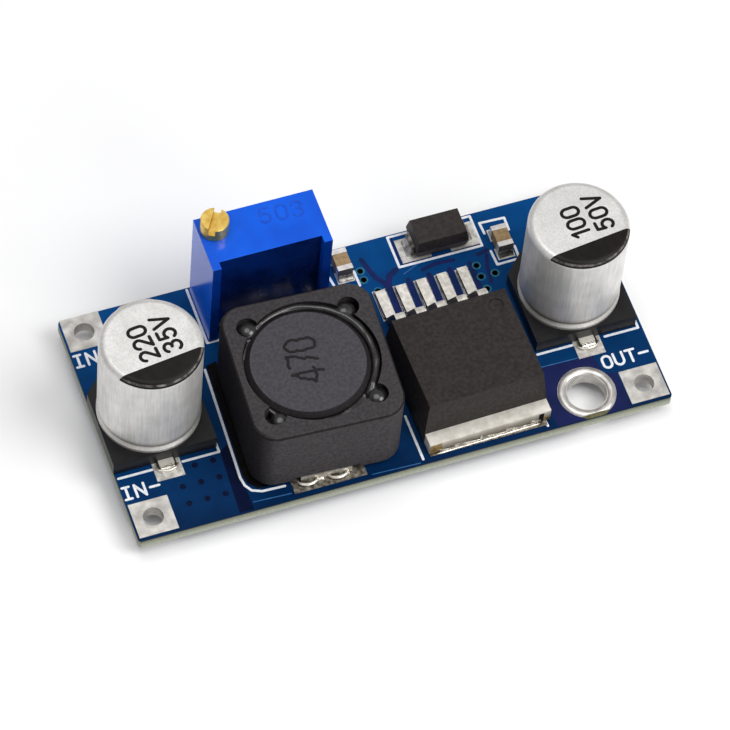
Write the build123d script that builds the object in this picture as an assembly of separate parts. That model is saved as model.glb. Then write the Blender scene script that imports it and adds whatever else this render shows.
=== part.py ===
from build123d import *
import math
import os

# Boost converter module: a 43 mm circuit board with two can capacitors, a shielded power
# inductor, a five-lead power package, a diode and a multi-turn trimmer.
# Millimetres, +Z up. The origin is on the board's underside, midway between the two
# mounting holes. +X runs from the input end to the output end, +Y towards the trimmer.

# Board. The saw cut lies a little towards -Y of the copper pattern.
board_len = 43.0
board_depth = 20.4
board_t = 1.0
board_cut_y = -0.13
board_corner_r = 0.3

# Copper. Lands are tinned copper on both faces; the thin plating of a hole counts as the board's.
# Insets run from the edges that the board would have without the saw's offset.
land_t = 0.05
copper_inset = 0.2
mount_inset_x = 6.22
mount_inset_y = 2.16
mount_hole_d = 3.2
mount_ring_w = 0.68
terminal_inset_x = 1.7
terminal_inset_y = 1.63
terminal_len = 3.1
terminal_depth = 3.0
terminal_hole_d = 1.64
via_d = 0.5

# Block of vias at the input's -Y corner, in columns and rows
via_block_inset_x = 7.53
via_block_inset_y = 1.93
via_block_pitch_x = 1.45
via_block_pitch_y = 1.53
via_block_columns = (3, 3, 2)

# Trimmer housing and its front recess
trim_x = -6.18
trim_y = 7.27
trim_len = 9.53
trim_depth = 4.83
trim_h = 10.03
trim_wall = 0.4
trim_side_wall = 0.6
trim_top_wall = 0.8
trim_recess = 0.63
trim_post_w = 0.68
trim_potting_t = 0.8

# Trimmer screw. The worm's lead is one tooth of the wheel for each turn.
screw_inset = 1.27
screw_head_d = 2.19
screw_head_h = 1.3
screw_head_gap = 0.05
screw_slot_w = 0.56
screw_slot_depth = 0.64
screw_slot_turn = 58.0
screw_shaft_d = 1.6
screw_run_gap = 0.05
screw_sleeve_len = 2.4
screw_core_d = 0.9
worm_module = 0.1625
worm_pitch_r = 0.65
worm_thread_w = 0.15
worm_turns = 8
worm_flank = 20.0
oring_section_d = 0.36
oring_drop = 1.2

# Worm wheel, carried on a stub of the housing's back wall
wheel_teeth = 32
wheel_t = 0.9
wheel_tooth_w = 0.19
wheel_tooth_rise = 0.9
wheel_tooth_drop = 1.2
wheel_tooth_sink = 0.1
wheel_bore_gap = 0.06
wheel_stub_d = 1.3
wheel_z = 5.0
wheel_side_gap = 0.1
wheel_shoulder_w = 0.4

# Wiper, resistance element and pins inside the trimmer
wiper_t = 0.12
wiper_w = 0.9
wiper_r = 2.1
wiper_tip_d = 0.5
wiper_contact_gap = 0.04
wiper_hub_w = 0.45
element_len = 7.4
element_h = 7.1
element_t = 0.6
pin_d = 0.51
pin_pitch = 2.54
pin_hole_gap = 0.2
pin_below_board = 1.1
pin_ring_w = 0.35
pin_solder_h = 0.7
solder_edge = 0.03

# Shielded inductor, set a little skew on its pads
coil_x = -5.65
coil_y = -3.05
coil_turn = -3.0
coil_len = 11.9
coil_depth = 12.2
coil_top = 7.0
coil_corner_r = 1.9
coil_chamfer = 0.25
coil_bore_d = 10.5
coil_ear_d = 1.7
coil_ear_r = 5.6
coil_ear_depth = 1.6
coil_base_t = 0.4
coil_base_inset = 0.35
coil_notch_w = 5.3
coil_notch_h = 0.75
coil_notch_depth = 0.5
coil_core_d = 9.5
coil_core_shift = -0.3
coil_core_drop = 0.1
coil_core_bevel = 0.35
coil_flange_t = 1.0
coil_web_d = 4.4
coil_wire_d = 0.6
coil_winding_gap = 0.05
coil_clip_gap = 0.05
coil_glue_drop = 0.6
coil_glue_depth = 1.1
coil_clip_w = 4.1
coil_clip_shift = -0.28
coil_clip_t = 0.15
coil_clip_h = 0.7
coil_clip_foot = 1.6

# Can capacitors: a moulded base, a sealed can and two flat leads
cap_base_w = 8.2
cap_base_t = 1.3
cap_base_chamfer = 1.6
cap_base_wall = 0.35
cap_seat_depth = 0.25
cap_seat_gap = 0.05
cap_bead_h = 0.75
cap_groove_h = 0.45
cap_groove_depth = 0.22
cap_bead_swell = 0.06
cap_rim_r = 0.55
cap_lead_w = 1.2
cap_lead_t = 0.25
cap_lead_out = 0.5
cap_lead_root = 1.0
cap_lead_gap = 0.04
in_cap_inset = 4.05
in_cap_y = -0.1
in_can_d = 7.9
in_can_top = 10.7
out_cap_inset = 4.6
out_cap_y = 0.65
out_can_d = 7.85
out_can_top = 10.25

# Power package with five formed leads, set a little skew
ic_x = 6.65
ic_y = -4.1
ic_turn = 1.5
ic_len = 10.0
ic_depth = 8.7
ic_top_len = 9.3
ic_top_front = 3.95
ic_top_back = 4.15
ic_top = 4.45
ic_standoff = 0.1
ic_tab_t = 1.27
ic_tab_len = 9.9
ic_tab_out = 1.1
ic_tab_inner_len = 8.0
ic_tab_inner_depth = 6.6
ic_dimple_d = 1.2
ic_dimple_depth = 0.12
ic_leads_count = 5
ic_lead_pitch = 1.7
ic_lead_w = 0.8
ic_lead_t = 0.5
ic_lead_z = 2.6
ic_lead_root = 0.8
ic_lead_shoulder = 1.1
ic_lead_slope = 1.15
ic_lead_foot = 2.7
ic_lead_bend_r = 0.35

# Diode with leads folded under its body
diode_x = 8.92
diode_y = 8.45
diode_len = 4.3
diode_depth = 2.6
diode_h = 2.1
diode_draft = 0.17
diode_lead_w = 1.45
diode_lead_t = 0.2
diode_lead_foot = 1.1
diode_lead_out = 0.2

# Chip capacitors (two) and one chip resistor
chip_len = 2.0
chip_w = 1.25
chip_h = 1.2
chip_end = 0.45
chip_plating = 0.03
in_chip_x = 0.98
in_chip_y = 8.3
out_chip_x = 13.67
out_chip_y = 6.75
res_x = -1.5
res_y = 4.2
res_len = 1.6
res_w = 0.8
res_h = 0.45
res_end = 0.3

# Pads of the surface-mounted pieces. An out value is how far a pad reaches from its piece's
# middle, and a shift is how far the pads lie off that middle.
cap_pad_len = 2.2
cap_pad_depth = 3.6
cap_pad_out = 5.7
coil_pad_len = 5.8
coil_pad_depth = 2.9
coil_pad_out = 6.85
coil_pad_shift = -0.45
ic_pad_shift = -0.18
ic_pad_len = 1.1
ic_pad_depth = 2.8
ic_pad_end_y = 5.45
ic_tab_pad_len = 9.5
ic_tab_pad_front_y = -9.85
ic_tab_pad_depth = 6.0
diode_pad_len = 2.4
diode_pad_depth = 2.2
diode_pad_out = 3.2
diode_pad_shift = -0.14
chip_pad_depth = 1.1
chip_pad_len = 1.4
res_pad_len = 0.8
res_pad_depth = 0.9

# Solder
solder_reach = 0.45
solder_hollow = 0.36
solder_height = 0.4
solder_skirt = 0.12
solder_skirt_h = 0.22

# Heights that several pieces share
seat_z = board_t + land_t
trim_top_z = board_t + trim_h
eps_cut = 1.0

# Places worked out from the driving sizes
copper_limit_y = board_depth / 2 - copper_inset
mount_x = board_len / 2 - mount_inset_x
mount_y = board_depth / 2 - mount_inset_y
terminal_x = board_len / 2 - terminal_inset_x
terminal_y = board_depth / 2 - terminal_inset_y
in_cap_x = in_cap_inset - board_len / 2
out_cap_x = board_len / 2 - out_cap_inset
screw_x = trim_x - trim_len / 2 + screw_inset
screw_y = trim_y + trim_depth / 2 - screw_inset
wheel_pitch_r = wheel_teeth * worm_module / 2
wheel_x = screw_x + worm_pitch_r + wheel_pitch_r
wheel_mid_z = board_t + wheel_z
worm_lead = math.pi * worm_module
worm_len = worm_turns * worm_lead
worm_lead_angle = math.atan(worm_lead / (2 * math.pi * worm_pitch_r))
cavity_back_y = trim_y + trim_depth / 2 - trim_wall
cavity_front_y = trim_y - trim_depth / 2 + trim_recess + trim_wall
cavity_left_x = trim_x - trim_len / 2 + trim_side_wall
cavity_right_x = trim_x + trim_len / 2 - trim_side_wall
wheel_front_y = screw_y - wheel_t / 2
element_back_y = trim_y + element_t / 2
element_bottom_z = board_t + trim_potting_t / 2
pin_y = trim_y
pin_xs = [trim_x + step * pin_pitch for step in (-1, 0, 1)]
mount_holes = [(mount_x, -mount_y), (-mount_x, mount_y)]
terminal_holes = [(sx * terminal_x, sy * terminal_y) for sx in (-1, 1) for sy in (-1, 1)]

# Plated holes that join the copper of both faces: beside the power package's leads, beside the
# left chip capacitor, and the block at the input's corner
package_vias = [(11.14, 5.38), (11.14, 4.31), (12.3, 4.32), (11.2, 3.12)]
chip_vias = [(2.3, 7.56), (2.3, 6.72), (3.04, 5.42)]
via_block_x = via_block_inset_x - board_len / 2
via_block_y = via_block_inset_y - board_depth / 2
block_vias = [
    (via_block_x - column * via_block_pitch_x, via_block_y + row * via_block_pitch_y)
    for column, rows in enumerate(via_block_columns)
    for row in range(rows)
]
via_places = package_vias + chip_vias + block_vias


def block(x_min, x_max, y_min, y_max, z_min, z_max):
    """Box between two corners."""
    size = (x_max - x_min, y_max - y_min, z_max - z_min)
    middle = ((x_min + x_max) / 2, (y_min + y_max) / 2, (z_min + z_max) / 2)
    return Pos(*middle) * Box(*size)


def rod(x, y, diameter, z_min, z_max):
    """Upright cylinder between two heights."""
    middle = (z_min + z_max) / 2
    return Pos(x, y, middle) * Cylinder(diameter / 2, z_max - z_min)


def slab(outline, z_min, z_max):
    """Plan outline raised between two heights."""
    return extrude(Pos(0, 0, z_min) * outline, z_max - z_min)


def turned(points):
    """Solid of revolution about Z from (radius, height) corners."""
    corners = [(radius, 0, height) for radius, height in points]
    return revolve(make_face(Polyline(*corners, close=True)), Axis.Z)


def bent_strip(points, width, thickness, bend_r):
    """Flat strip of metal bent in the YZ plane along the middle line given as (y, z)."""
    path = FilletPolyline(*[(0, y, z) for y, z in points], radius=bend_r)
    start = Plane(origin=path @ 0, x_dir=(1, 0, 0), z_dir=path % 0)
    return sweep(start * Rectangle(width, thickness), path=path)


def solder_wedge(width, reach, height):
    """Hollow fillet of solder that stands on the XY plane and leans on the XZ plane, towards -Y."""
    corner = (0, 0, 0)
    toe = (0, -reach, 0)
    top = (0, 0, height)
    hollow = (0, -reach * solder_hollow, height * solder_hollow)
    edge = Line(corner, toe) + ThreePointArc(toe, hollow, top) + Line(top, corner)
    return Pos(-width / 2, 0, 0) * extrude(make_face(edge), width, dir=(1, 0, 0))


def plated_land(outline, x, y, hole_d):
    """Lands on both faces, with the hole between them."""
    hole = rod(x, y, hole_d, -land_t - eps_cut, seat_z + eps_cut)
    return [slab(outline, board_t, seat_z) - hole, slab(outline, -land_t, 0) - hole]


def surface_pad(x, y, length, depth):
    """Tinned pad on the board's top face."""
    return block(x - length / 2, x + length / 2, y - depth / 2, y + depth / 2, board_t, seat_z)


def make_board():
    outline = Pos(0, board_cut_y) * RectangleRounded(board_len, board_depth, board_corner_r)
    board = slab(outline, 0, board_t)
    holes = [(x, y, mount_hole_d) for x, y in mount_holes]
    holes += [(x, y, terminal_hole_d) for x, y in terminal_holes]
    holes += [(x, pin_y, pin_d + pin_hole_gap) for x in pin_xs]
    holes += [(x, y, via_d) for x, y in via_places]
    return board - [rod(x, y, diameter, -eps_cut, board_t + eps_cut) for x, y, diameter in holes]


def make_mounting_lands():
    lands = []
    for x, y in mount_holes:
        ring = Pos(x, y) * Circle(mount_hole_d / 2 + mount_ring_w)
        ring &= Rectangle(board_len, 2 * copper_limit_y)
        lands += plated_land(ring, x, y, mount_hole_d)
    return lands


def make_terminal_lands():
    lands = []
    for x, y in terminal_holes:
        square = Pos(x, y) * Rectangle(terminal_len, terminal_depth)
        lands += plated_land(square, x, y, terminal_hole_d)
    return lands


def make_pin_lands():
    lands = []
    for x in pin_xs:
        ring = Pos(x, pin_y) * Circle(pin_d / 2 + pin_hole_gap / 2 + pin_ring_w)
        lands += plated_land(ring, x, pin_y, pin_d + pin_hole_gap)
    return lands


def pad_pair(x, y, out, length, depth):
    """Two pads in front of and behind a piece, out to the same reach from its middle."""
    places = [y - out + depth / 2, y + out - depth / 2]
    return [surface_pad(x, place, length, depth) for place in places]


def ic_pad_places():
    return [ic_x + ic_pad_shift + step for step in ic_lead_xs()]


def make_pads():
    pads = pad_pair(in_cap_x, in_cap_y, cap_pad_out, cap_pad_len, cap_pad_depth)
    pads += pad_pair(out_cap_x, out_cap_y, cap_pad_out, cap_pad_len, cap_pad_depth)
    pads += pad_pair(coil_x + coil_pad_shift, coil_y, coil_pad_out, coil_pad_len, coil_pad_depth)
    pad_y = ic_pad_end_y - ic_pad_depth / 2
    pads += [surface_pad(x, pad_y, ic_pad_len, ic_pad_depth) for x in ic_pad_places()]
    tab_y = ic_tab_pad_front_y + ic_tab_pad_depth / 2
    pads.append(surface_pad(ic_x, tab_y, ic_tab_pad_len, ic_tab_pad_depth))
    for side in (-1, 1):
        diode_pad_x = diode_x + side * (diode_pad_out - diode_pad_len / 2)
        diode_pad_y = diode_y + diode_pad_shift
        pads.append(surface_pad(diode_pad_x, diode_pad_y, diode_pad_len, diode_pad_depth))
        res_pad_x = res_x + side * (res_len - res_end) / 2
        pads.append(surface_pad(res_pad_x, res_y, res_pad_len, res_pad_depth))
    for x, y in ((in_chip_x, in_chip_y), (out_chip_x, out_chip_y)):
        reach = chip_len / 2 + solder_reach
        pads += pad_pair(x, y, reach, chip_pad_len, chip_pad_depth)
    via_cuts = [rod(x, y, via_d, 0, seat_z + eps_cut) for x, y in via_places]
    return [(pad - via_cuts).solid() for pad in pads]


def make_trimmer_housing():
    left = trim_x - trim_len / 2
    right = trim_x + trim_len / 2
    front = trim_y - trim_depth / 2
    back = trim_y + trim_depth / 2
    shell = block(left, right, front, back, board_t, trim_top_z)
    recess_left = left + trim_post_w
    recess_right = right - trim_post_w
    recess_back = front + trim_recess
    recess_top = trim_top_z + eps_cut
    shell -= block(recess_left, recess_right, front - eps_cut, recess_back, 0, recess_top)
    cavity_top = trim_top_z - trim_top_wall
    cavity = block(cavity_left_x, cavity_right_x, cavity_front_y, cavity_back_y, 0, cavity_top)
    shell -= cavity
    # Bearing sleeve for the screw under the top wall, and a shelf for its lower end
    sleeve_r = screw_shaft_d / 2 + trim_wall
    sleeve = rod(screw_x, screw_y, 2 * sleeve_r, trim_top_z - screw_sleeve_len, trim_top_z)
    shelf_top = screw_shelf_top()
    shelf_front = screw_y - screw_core_d / 2 - trim_wall
    shelf_bottom = board_t + trim_potting_t
    shelf_right = screw_x + screw_core_d / 2 + trim_wall
    shelf = block(cavity_left_x, shelf_right, shelf_front, cavity_back_y, shelf_bottom, shelf_top)
    shell += (sleeve & cavity) + shelf
    stub_len = cavity_back_y - wheel_front_y - wheel_side_gap
    stub = Rot(90, 0, 0) * Cylinder(wheel_stub_d / 2, stub_len)
    shell += Pos(wheel_x, cavity_back_y - stub_len / 2, wheel_mid_z) * stub
    shoulder_len = cavity_back_y - wheel_front_y - wheel_t - wheel_side_gap
    shoulder = Rot(90, 0, 0) * Cylinder(wheel_stub_d / 2 + wheel_shoulder_w, shoulder_len)
    shell += Pos(wheel_x, cavity_back_y - shoulder_len / 2, wheel_mid_z) * shoulder
    shell -= rod(screw_x, screw_y, screw_shaft_d + 2 * screw_run_gap, shelf_top, trim_top_z + eps_cut)
    journal_d = screw_core_d + 2 * screw_run_gap
    shell -= rod(screw_x, screw_y, journal_d, screw_bottom() - screw_run_gap, shelf_top + eps_cut)
    return shell


def screw_bottom():
    """Lower end of the screw, just above the bottom of its shelf."""
    return board_t + trim_potting_t + trim_wall


def screw_shelf_top():
    return screw_bottom() + screw_core_d / 2


def make_trimmer_screw():
    head_bottom = trim_top_z + screw_head_gap
    head_top = head_bottom + screw_head_h
    sleeve_bottom = trim_top_z - screw_sleeve_len
    groove_mid = trim_top_z - oring_drop
    groove_half = oring_section_d / 2 + screw_run_gap / 2
    groove_r = screw_shaft_d / 2 - oring_section_d + screw_run_gap / 2
    shaft = rod(screw_x, screw_y, screw_shaft_d, sleeve_bottom, head_bottom)
    groove_low = groove_mid - groove_half
    groove_high = groove_mid + groove_half
    shaft -= rod(screw_x, screw_y, 2 * screw_shaft_d, groove_low, groove_high)
    shaft += rod(screw_x, screw_y, 2 * groove_r, sleeve_bottom, head_bottom)
    head = rod(screw_x, screw_y, screw_head_d, head_bottom, head_top)
    head = chamfer(head.edges().group_by(Axis.Z)[-1], screw_head_gap)
    slot = Rot(0, 0, screw_slot_turn) * Box(2 * screw_head_d, screw_slot_w, 2 * screw_slot_depth)
    head -= Pos(screw_x, screw_y, head_top) * slot
    core = rod(screw_x, screw_y, screw_core_d, screw_bottom(), sleeve_bottom)
    return shaft + head + core + make_worm_thread()


def make_worm_thread():
    """Single-start trapezoid thread, its middle turn level with the wheel's axle."""
    half_w = worm_thread_w / 2
    tip = worm_pitch_r + worm_module
    root = screw_core_d / 2 - screw_run_gap
    slope = math.tan(math.radians(worm_flank))
    tip_half = half_w - worm_module * slope
    root_half = half_w + (worm_pitch_r - root) * slope
    helix = Helix(pitch=worm_lead, height=worm_len, radius=worm_pitch_r)
    start = Plane(origin=helix @ 0, x_dir=(1, 0, 0), z_dir=helix % 0)
    profile = make_face(Polyline(
        (root - worm_pitch_r, -root_half),
        (tip - worm_pitch_r, -tip_half),
        (tip - worm_pitch_r, tip_half),
        (root - worm_pitch_r, root_half),
        close=True,
    ))
    thread = sweep(start * profile, path=helix, is_frenet=True)
    return Pos(screw_x, screw_y, wheel_mid_z - worm_len / 2) * thread


def make_oring():
    centre_r = screw_shaft_d / 2 + screw_run_gap / 2 - oring_section_d / 2
    return Pos(screw_x, screw_y, trim_top_z - oring_drop) * Torus(centre_r, oring_section_d / 2)


def make_wheel():
    """Worm wheel about Y: a disc with slanted teeth, one gap facing the worm's middle turn."""
    root_r = wheel_pitch_r - wheel_tooth_drop * worm_module
    tip_r = wheel_pitch_r + wheel_tooth_rise * worm_module
    slope = math.tan(math.radians(worm_flank))
    pitch_half = wheel_tooth_w / 2
    root_half = pitch_half + (wheel_pitch_r - root_r) * slope
    tip_half = pitch_half - (tip_r - wheel_pitch_r) * slope
    foot_r = root_r - wheel_tooth_sink
    disc = Rot(90, 0, 0) * Cylinder(root_r, wheel_t)
    drift = math.tan(worm_lead_angle) * wheel_t
    outline = make_face(Polyline(
        (-foot_r, -wheel_t / 2, root_half - drift / 2),
        (-tip_r, -wheel_t / 2, tip_half - drift / 2),
        (-tip_r, -wheel_t / 2, -tip_half - drift / 2),
        (-foot_r, -wheel_t / 2, -root_half - drift / 2),
        close=True,
    ))
    along = Vector(0, wheel_t, drift)
    tooth = extrude(outline, amount=along.length, dir=along)
    step = 360 / wheel_teeth
    teeth = [Rot(0, (number + 0.5) * step, 0) * tooth for number in range(wheel_teeth)]
    wheel = disc + teeth
    wheel -= Rot(90, 0, 0) * Cylinder(wheel_stub_d / 2 + wheel_bore_gap, 2 * wheel_t)
    return Pos(wheel_x, screw_y, wheel_mid_z) * wheel


def make_wiper():
    """Spring contact on the wheel's front face, with its tip just off the element."""
    outer = wiper_r + wiper_w / 2
    bore_r = wheel_stub_d / 2 + wheel_bore_gap
    plate = Cylinder(outer, wiper_t) & Box(2 * outer, wiper_w, 2 * wiper_t)
    plate += Cylinder(bore_r + wiper_hub_w, wiper_t)
    plate -= Cylinder(bore_r, 2 * wiper_t)
    tip_len = wheel_front_y - wiper_t - element_back_y - wiper_contact_gap
    tip = Pos(wiper_r, 0, wiper_t / 2 + tip_len / 2) * Cylinder(wiper_tip_d / 2, tip_len)
    wiper = Rot(90, 0, 0) * (plate + tip)
    return Pos(wheel_x, wheel_front_y - wiper_t / 2, wheel_mid_z) * wiper


def make_element():
    middle_x = (cavity_left_x + cavity_right_x) / 2
    left = middle_x - element_len / 2
    front = element_back_y - element_t
    top = element_bottom_z + element_h
    return block(left, left + element_len, front, element_back_y, element_bottom_z, top)


def make_pins():
    """Pins that stand under the element and reach down through the board."""
    return [rod(x, pin_y, pin_d, -pin_below_board, element_bottom_z) for x in pin_xs]


def make_potting():
    top = board_t + trim_potting_t
    fill = block(cavity_left_x, cavity_right_x, cavity_front_y, cavity_back_y, board_t, top)
    fill -= make_element()
    ring_d = pin_d + pin_hole_gap + 2 * pin_ring_w
    fill -= [rod(x, pin_y, ring_d, 0, seat_z) for x in pin_xs]
    return fill - make_pins()


def make_pin_solder():
    """Solder that fills each plated hole and stands as a cone round the pin underneath."""
    wire_r = pin_d / 2
    hole_r = wire_r + pin_hole_gap / 2
    ring_r = hole_r + pin_ring_w
    cone_bottom = -land_t - pin_solder_h
    profile = [
        (wire_r, seat_z),
        (hole_r, seat_z),
        (hole_r, -land_t),
        (ring_r, -land_t),
        (hole_r, cone_bottom / 2 - land_t),
        (wire_r + solder_edge, cone_bottom),
        (wire_r, cone_bottom),
    ]
    return [Pos(x, pin_y, 0) * turned(profile) for x in pin_xs]


def coil_place(piece):
    """Set a piece of the inductor on its seat, with the inductor's own skew."""
    return Pos(coil_x, coil_y, seat_z) * Rot(0, 0, coil_turn) * piece


def coil_ears():
    spots = [(sx, sy) for sx in (-1, 1) for sy in (-1, 1)]
    reach = coil_ear_r / math.sqrt(2)
    return [Pos(sx * reach, sy * reach) * Circle(coil_ear_d / 2) for sx, sy in spots]


def make_coil_shield():
    bottom = coil_base_t
    body = slab(RectangleRounded(coil_len, coil_depth, coil_corner_r), bottom, coil_top)
    body = chamfer(body.edges().group_by(Axis.Z)[-1], coil_chamfer)
    body -= rod(0, 0, coil_bore_d, 0, coil_top + eps_cut)
    for ear in coil_ears():
        body -= slab(ear, coil_top - coil_ear_depth, coil_top + eps_cut)
    half = coil_notch_w / 2
    inner = coil_depth / 2 - coil_notch_depth
    outer = coil_depth / 2 + eps_cut
    shift = coil_clip_shift
    body -= block(shift - half, shift + half, -outer, -inner, 0, coil_notch_h)
    body -= block(-shift - half, -shift + half, inner, outer, 0, coil_notch_h)
    return coil_place(body)


def make_coil_base():
    """Moulded plate under the shield, cut back where the clips pass."""
    plate_len = coil_len - 2 * coil_base_inset
    plate_depth = coil_depth - 2 * coil_base_inset
    outline = RectangleRounded(plate_len, plate_depth, coil_corner_r)
    plate = slab(outline, coil_clip_t, coil_base_t)
    half = coil_clip_w / 2 + coil_clip_gap
    inner = coil_clip_face() - coil_clip_t - coil_clip_gap
    way = Pos(coil_clip_shift, 0, 0) * block(-half, half, -coil_depth, -inner, 0, coil_top)
    return coil_place(plate - way - Rot(0, 0, 180) * way)


def coil_clip_face():
    """How far a clip's outer face lies from the inductor's middle."""
    return coil_depth / 2 - coil_notch_depth + coil_clip_t + coil_clip_gap


def make_coil_clips():
    """Terminal clips: a foot on the pad and a tab that stands up the notch."""
    face = coil_clip_face()
    mid = coil_clip_t / 2
    strip = bent_strip(
        [(-face + coil_clip_foot, mid), (-face + mid, mid), (-face + mid, coil_clip_h)],
        coil_clip_w, coil_clip_t, coil_clip_t,
    )
    front = Pos(coil_clip_shift, 0, 0) * strip
    back = Rot(0, 0, 180) * front
    return [coil_place(front), coil_place(back)]


def coil_core_top():
    return coil_top - coil_core_drop


def make_coil_core():
    """Drum core of ferrite: two flanges on a web, set off the bore's middle."""
    top = coil_core_top()
    bottom = coil_base_t
    outer = coil_core_d / 2
    web = coil_web_d / 2
    drum = turned([
        (0, bottom),
        (outer, bottom),
        (outer, bottom + coil_flange_t),
        (web, bottom + coil_flange_t),
        (web, top - coil_flange_t),
        (outer, top - coil_flange_t),
        (outer, top - coil_core_bevel),
        (outer - coil_core_bevel, top),
        (0, top),
    ])
    return coil_place(Pos(coil_core_shift, 0, 0) * drum)


def make_coil_winding():
    """Enamelled wire on the core: one solid with a ridge for each turn of the outer layer."""
    low = coil_base_t + coil_flange_t + coil_winding_gap
    high = coil_core_top() - coil_flange_t - coil_winding_gap
    outer = coil_core_d / 2 - coil_wire_d / 2
    inner = coil_web_d / 2 + coil_winding_gap
    turns = int((high - low) / coil_wire_d)
    pitch = (high - low) / turns
    crest = outer - coil_wire_d / 4
    profile = [(inner, low)]
    for number in range(turns):
        foot = low + number * pitch
        profile += [(crest, foot), (outer, foot + pitch / 4), (outer, foot + 3 * pitch / 4)]
    profile += [(crest, high), (inner, high)]
    return coil_place(Pos(coil_core_shift, 0, 0) * turned(profile))


def make_coil_glue():
    """Cured resin in the ring between core and shield, and in the four ears."""
    top = coil_top - coil_glue_drop
    outline = Circle(coil_bore_d / 2)
    for ear in coil_ears():
        outline += ear
    outline -= Pos(coil_core_shift, 0) * Circle(coil_core_d / 2)
    ring = slab(outline, max(top - coil_glue_depth, coil_top - coil_ear_depth), top)
    return coil_place(ring)


def cap_base(x, y, can_d):
    """Moulded base with two bevelled corners on the +Y side and a round seat for the can."""
    half = cap_base_w / 2
    cut = cap_base_chamfer
    outline = make_face(Polyline(
        (-half, -half), (half, -half), (half, half - cut), (half - cut, half),
        (-half + cut, half), (-half, half - cut), close=True,
    ))
    body = slab(outline, 0, cap_base_t)
    body -= rod(0, 0, cap_seat_d(can_d), cap_base_t - cap_seat_depth, cap_base_t + eps_cut)
    wide = cap_lead_w / 2 + cap_lead_gap
    root = cap_lead_root - cap_lead_t / 2 - cap_lead_gap
    hole_end = cap_lead_root + cap_lead_t / 2 + cap_lead_gap
    channel = block(-wide, wide, -cap_base_w, -root, -eps_cut, cap_lead_t + cap_lead_gap)
    channel += block(-wide, wide, -hole_end, -root, 0, cap_base_t)
    body -= channel + Rot(0, 0, 180) * channel
    return Pos(x, y, seat_z) * body


def cap_seat_d(can_d):
    """The base's seat: the bead's width and a small gap, inside the base's wall."""
    return min(can_d + 2 * cap_bead_swell + cap_seat_gap, cap_base_w - cap_base_wall / 2)


def cap_can(x, y, can_d, top):
    """Sealed aluminium can: bead at the foot, crimped groove, straight wall and rounded rim."""
    radius = can_d / 2
    bottom = cap_base_t - cap_seat_depth
    bead = radius + cap_bead_swell
    groove_low = bottom + cap_bead_h
    groove_mid = groove_low + cap_groove_h / 2
    groove_high = groove_low + cap_groove_h
    wall = [
        (0, bottom),
        (bead - cap_bead_h / 4, bottom),
        (bead, bottom + cap_bead_h / 3),
        (bead, bottom + 2 * cap_bead_h / 3),
        (radius - cap_groove_depth / 2, groove_low),
        (radius - cap_groove_depth, groove_mid),
        (radius, groove_high),
        (radius, top),
        (0, top),
    ]
    can = turned(wall)
    can = fillet(can.edges().group_by(Axis.Z)[-1], cap_rim_r)
    return Pos(x, y, seat_z) * can


def cap_leads(x, y):
    """Two flat leads: down from the can, then out under the base to the front and the back."""
    end = cap_base_w / 2 + cap_lead_out
    mid = cap_lead_t / 2
    seat = cap_base_t - cap_seat_depth
    points = [(-cap_lead_root, seat), (-cap_lead_root, mid), (-end, mid)]
    front = bent_strip(points, cap_lead_w, cap_lead_t, cap_lead_t)
    return [Pos(x, y, seat_z) * front, Pos(x, y, seat_z) * Rot(0, 0, 180) * front]


def ic_place(piece):
    return Pos(ic_x, ic_y, seat_z) * Rot(0, 0, ic_turn) * piece


def make_ic_tab():
    """Heat-spreading tab: a wide front strip and a narrower part under the moulding."""
    front = -ic_depth / 2 - ic_tab_out
    edge = -ic_depth / 2
    strip = block(-ic_tab_len / 2, ic_tab_len / 2, front, edge, 0, ic_tab_t)
    half = ic_tab_inner_len / 2
    inner = block(-half, half, edge, edge + ic_tab_inner_depth, 0, ic_tab_t)
    return ic_place(strip + inner)


def make_ic_body():
    foot = slab(Rectangle(ic_len, ic_depth), ic_standoff, ic_tab_t)
    top_mid = (ic_top_back - ic_top_front) / 2
    lower = Pos(0, 0, ic_tab_t) * Rectangle(ic_len, ic_depth)
    upper = Pos(0, top_mid, ic_top) * Rectangle(ic_top_len, ic_top_front + ic_top_back)
    body = foot + loft([lower, upper])
    inner_edge = -ic_depth / 2 + ic_tab_inner_depth
    body -= block(-ic_tab_inner_len / 2, ic_tab_inner_len / 2, -ic_depth, inner_edge, 0, ic_tab_t)
    dimple_x = ic_top_len / 2 - ic_dimple_d
    dimple_y = ic_top_back - ic_dimple_d
    body -= rod(dimple_x, dimple_y, ic_dimple_d, ic_top - ic_dimple_depth, ic_top + eps_cut)
    body = ic_place(body)
    return body - make_ic_leads()


def ic_lead_points():
    """Middle line of a formed lead, from inside the moulding to the tip of its foot."""
    edge = ic_depth / 2
    knee = edge + ic_lead_shoulder
    heel = knee + ic_lead_slope
    foot_z = ic_lead_t / 2
    toe = heel + ic_lead_foot
    return [(edge - ic_lead_root, ic_lead_z), (knee, ic_lead_z), (heel, foot_z), (toe, foot_z)]


def ic_lead_xs():
    """Places of the leads along the package, from its middle."""
    middle = (ic_leads_count - 1) / 2
    return [(number - middle) * ic_lead_pitch for number in range(ic_leads_count)]


def make_ic_leads():
    lead = bent_strip(ic_lead_points(), ic_lead_w, ic_lead_t, ic_lead_bend_r)
    return [ic_place(Pos(x, 0, 0) * lead) for x in ic_lead_xs()]


def make_diode_body():
    """Moulding widest at its parting line, halfway up."""
    standoff = diode_lead_t
    mid = diode_h / 2
    small = Rectangle(diode_len - 2 * diode_draft, diode_depth - 2 * diode_draft)
    wide = Rectangle(diode_len, diode_depth)
    low = loft([Pos(0, 0, standoff) * small, Pos(0, 0, mid) * wide])
    high = loft([Pos(0, 0, mid) * wide, Pos(0, 0, diode_h) * small])
    body = Pos(diode_x, diode_y, seat_z) * (low + high)
    return body - make_diode_leads()


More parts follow.
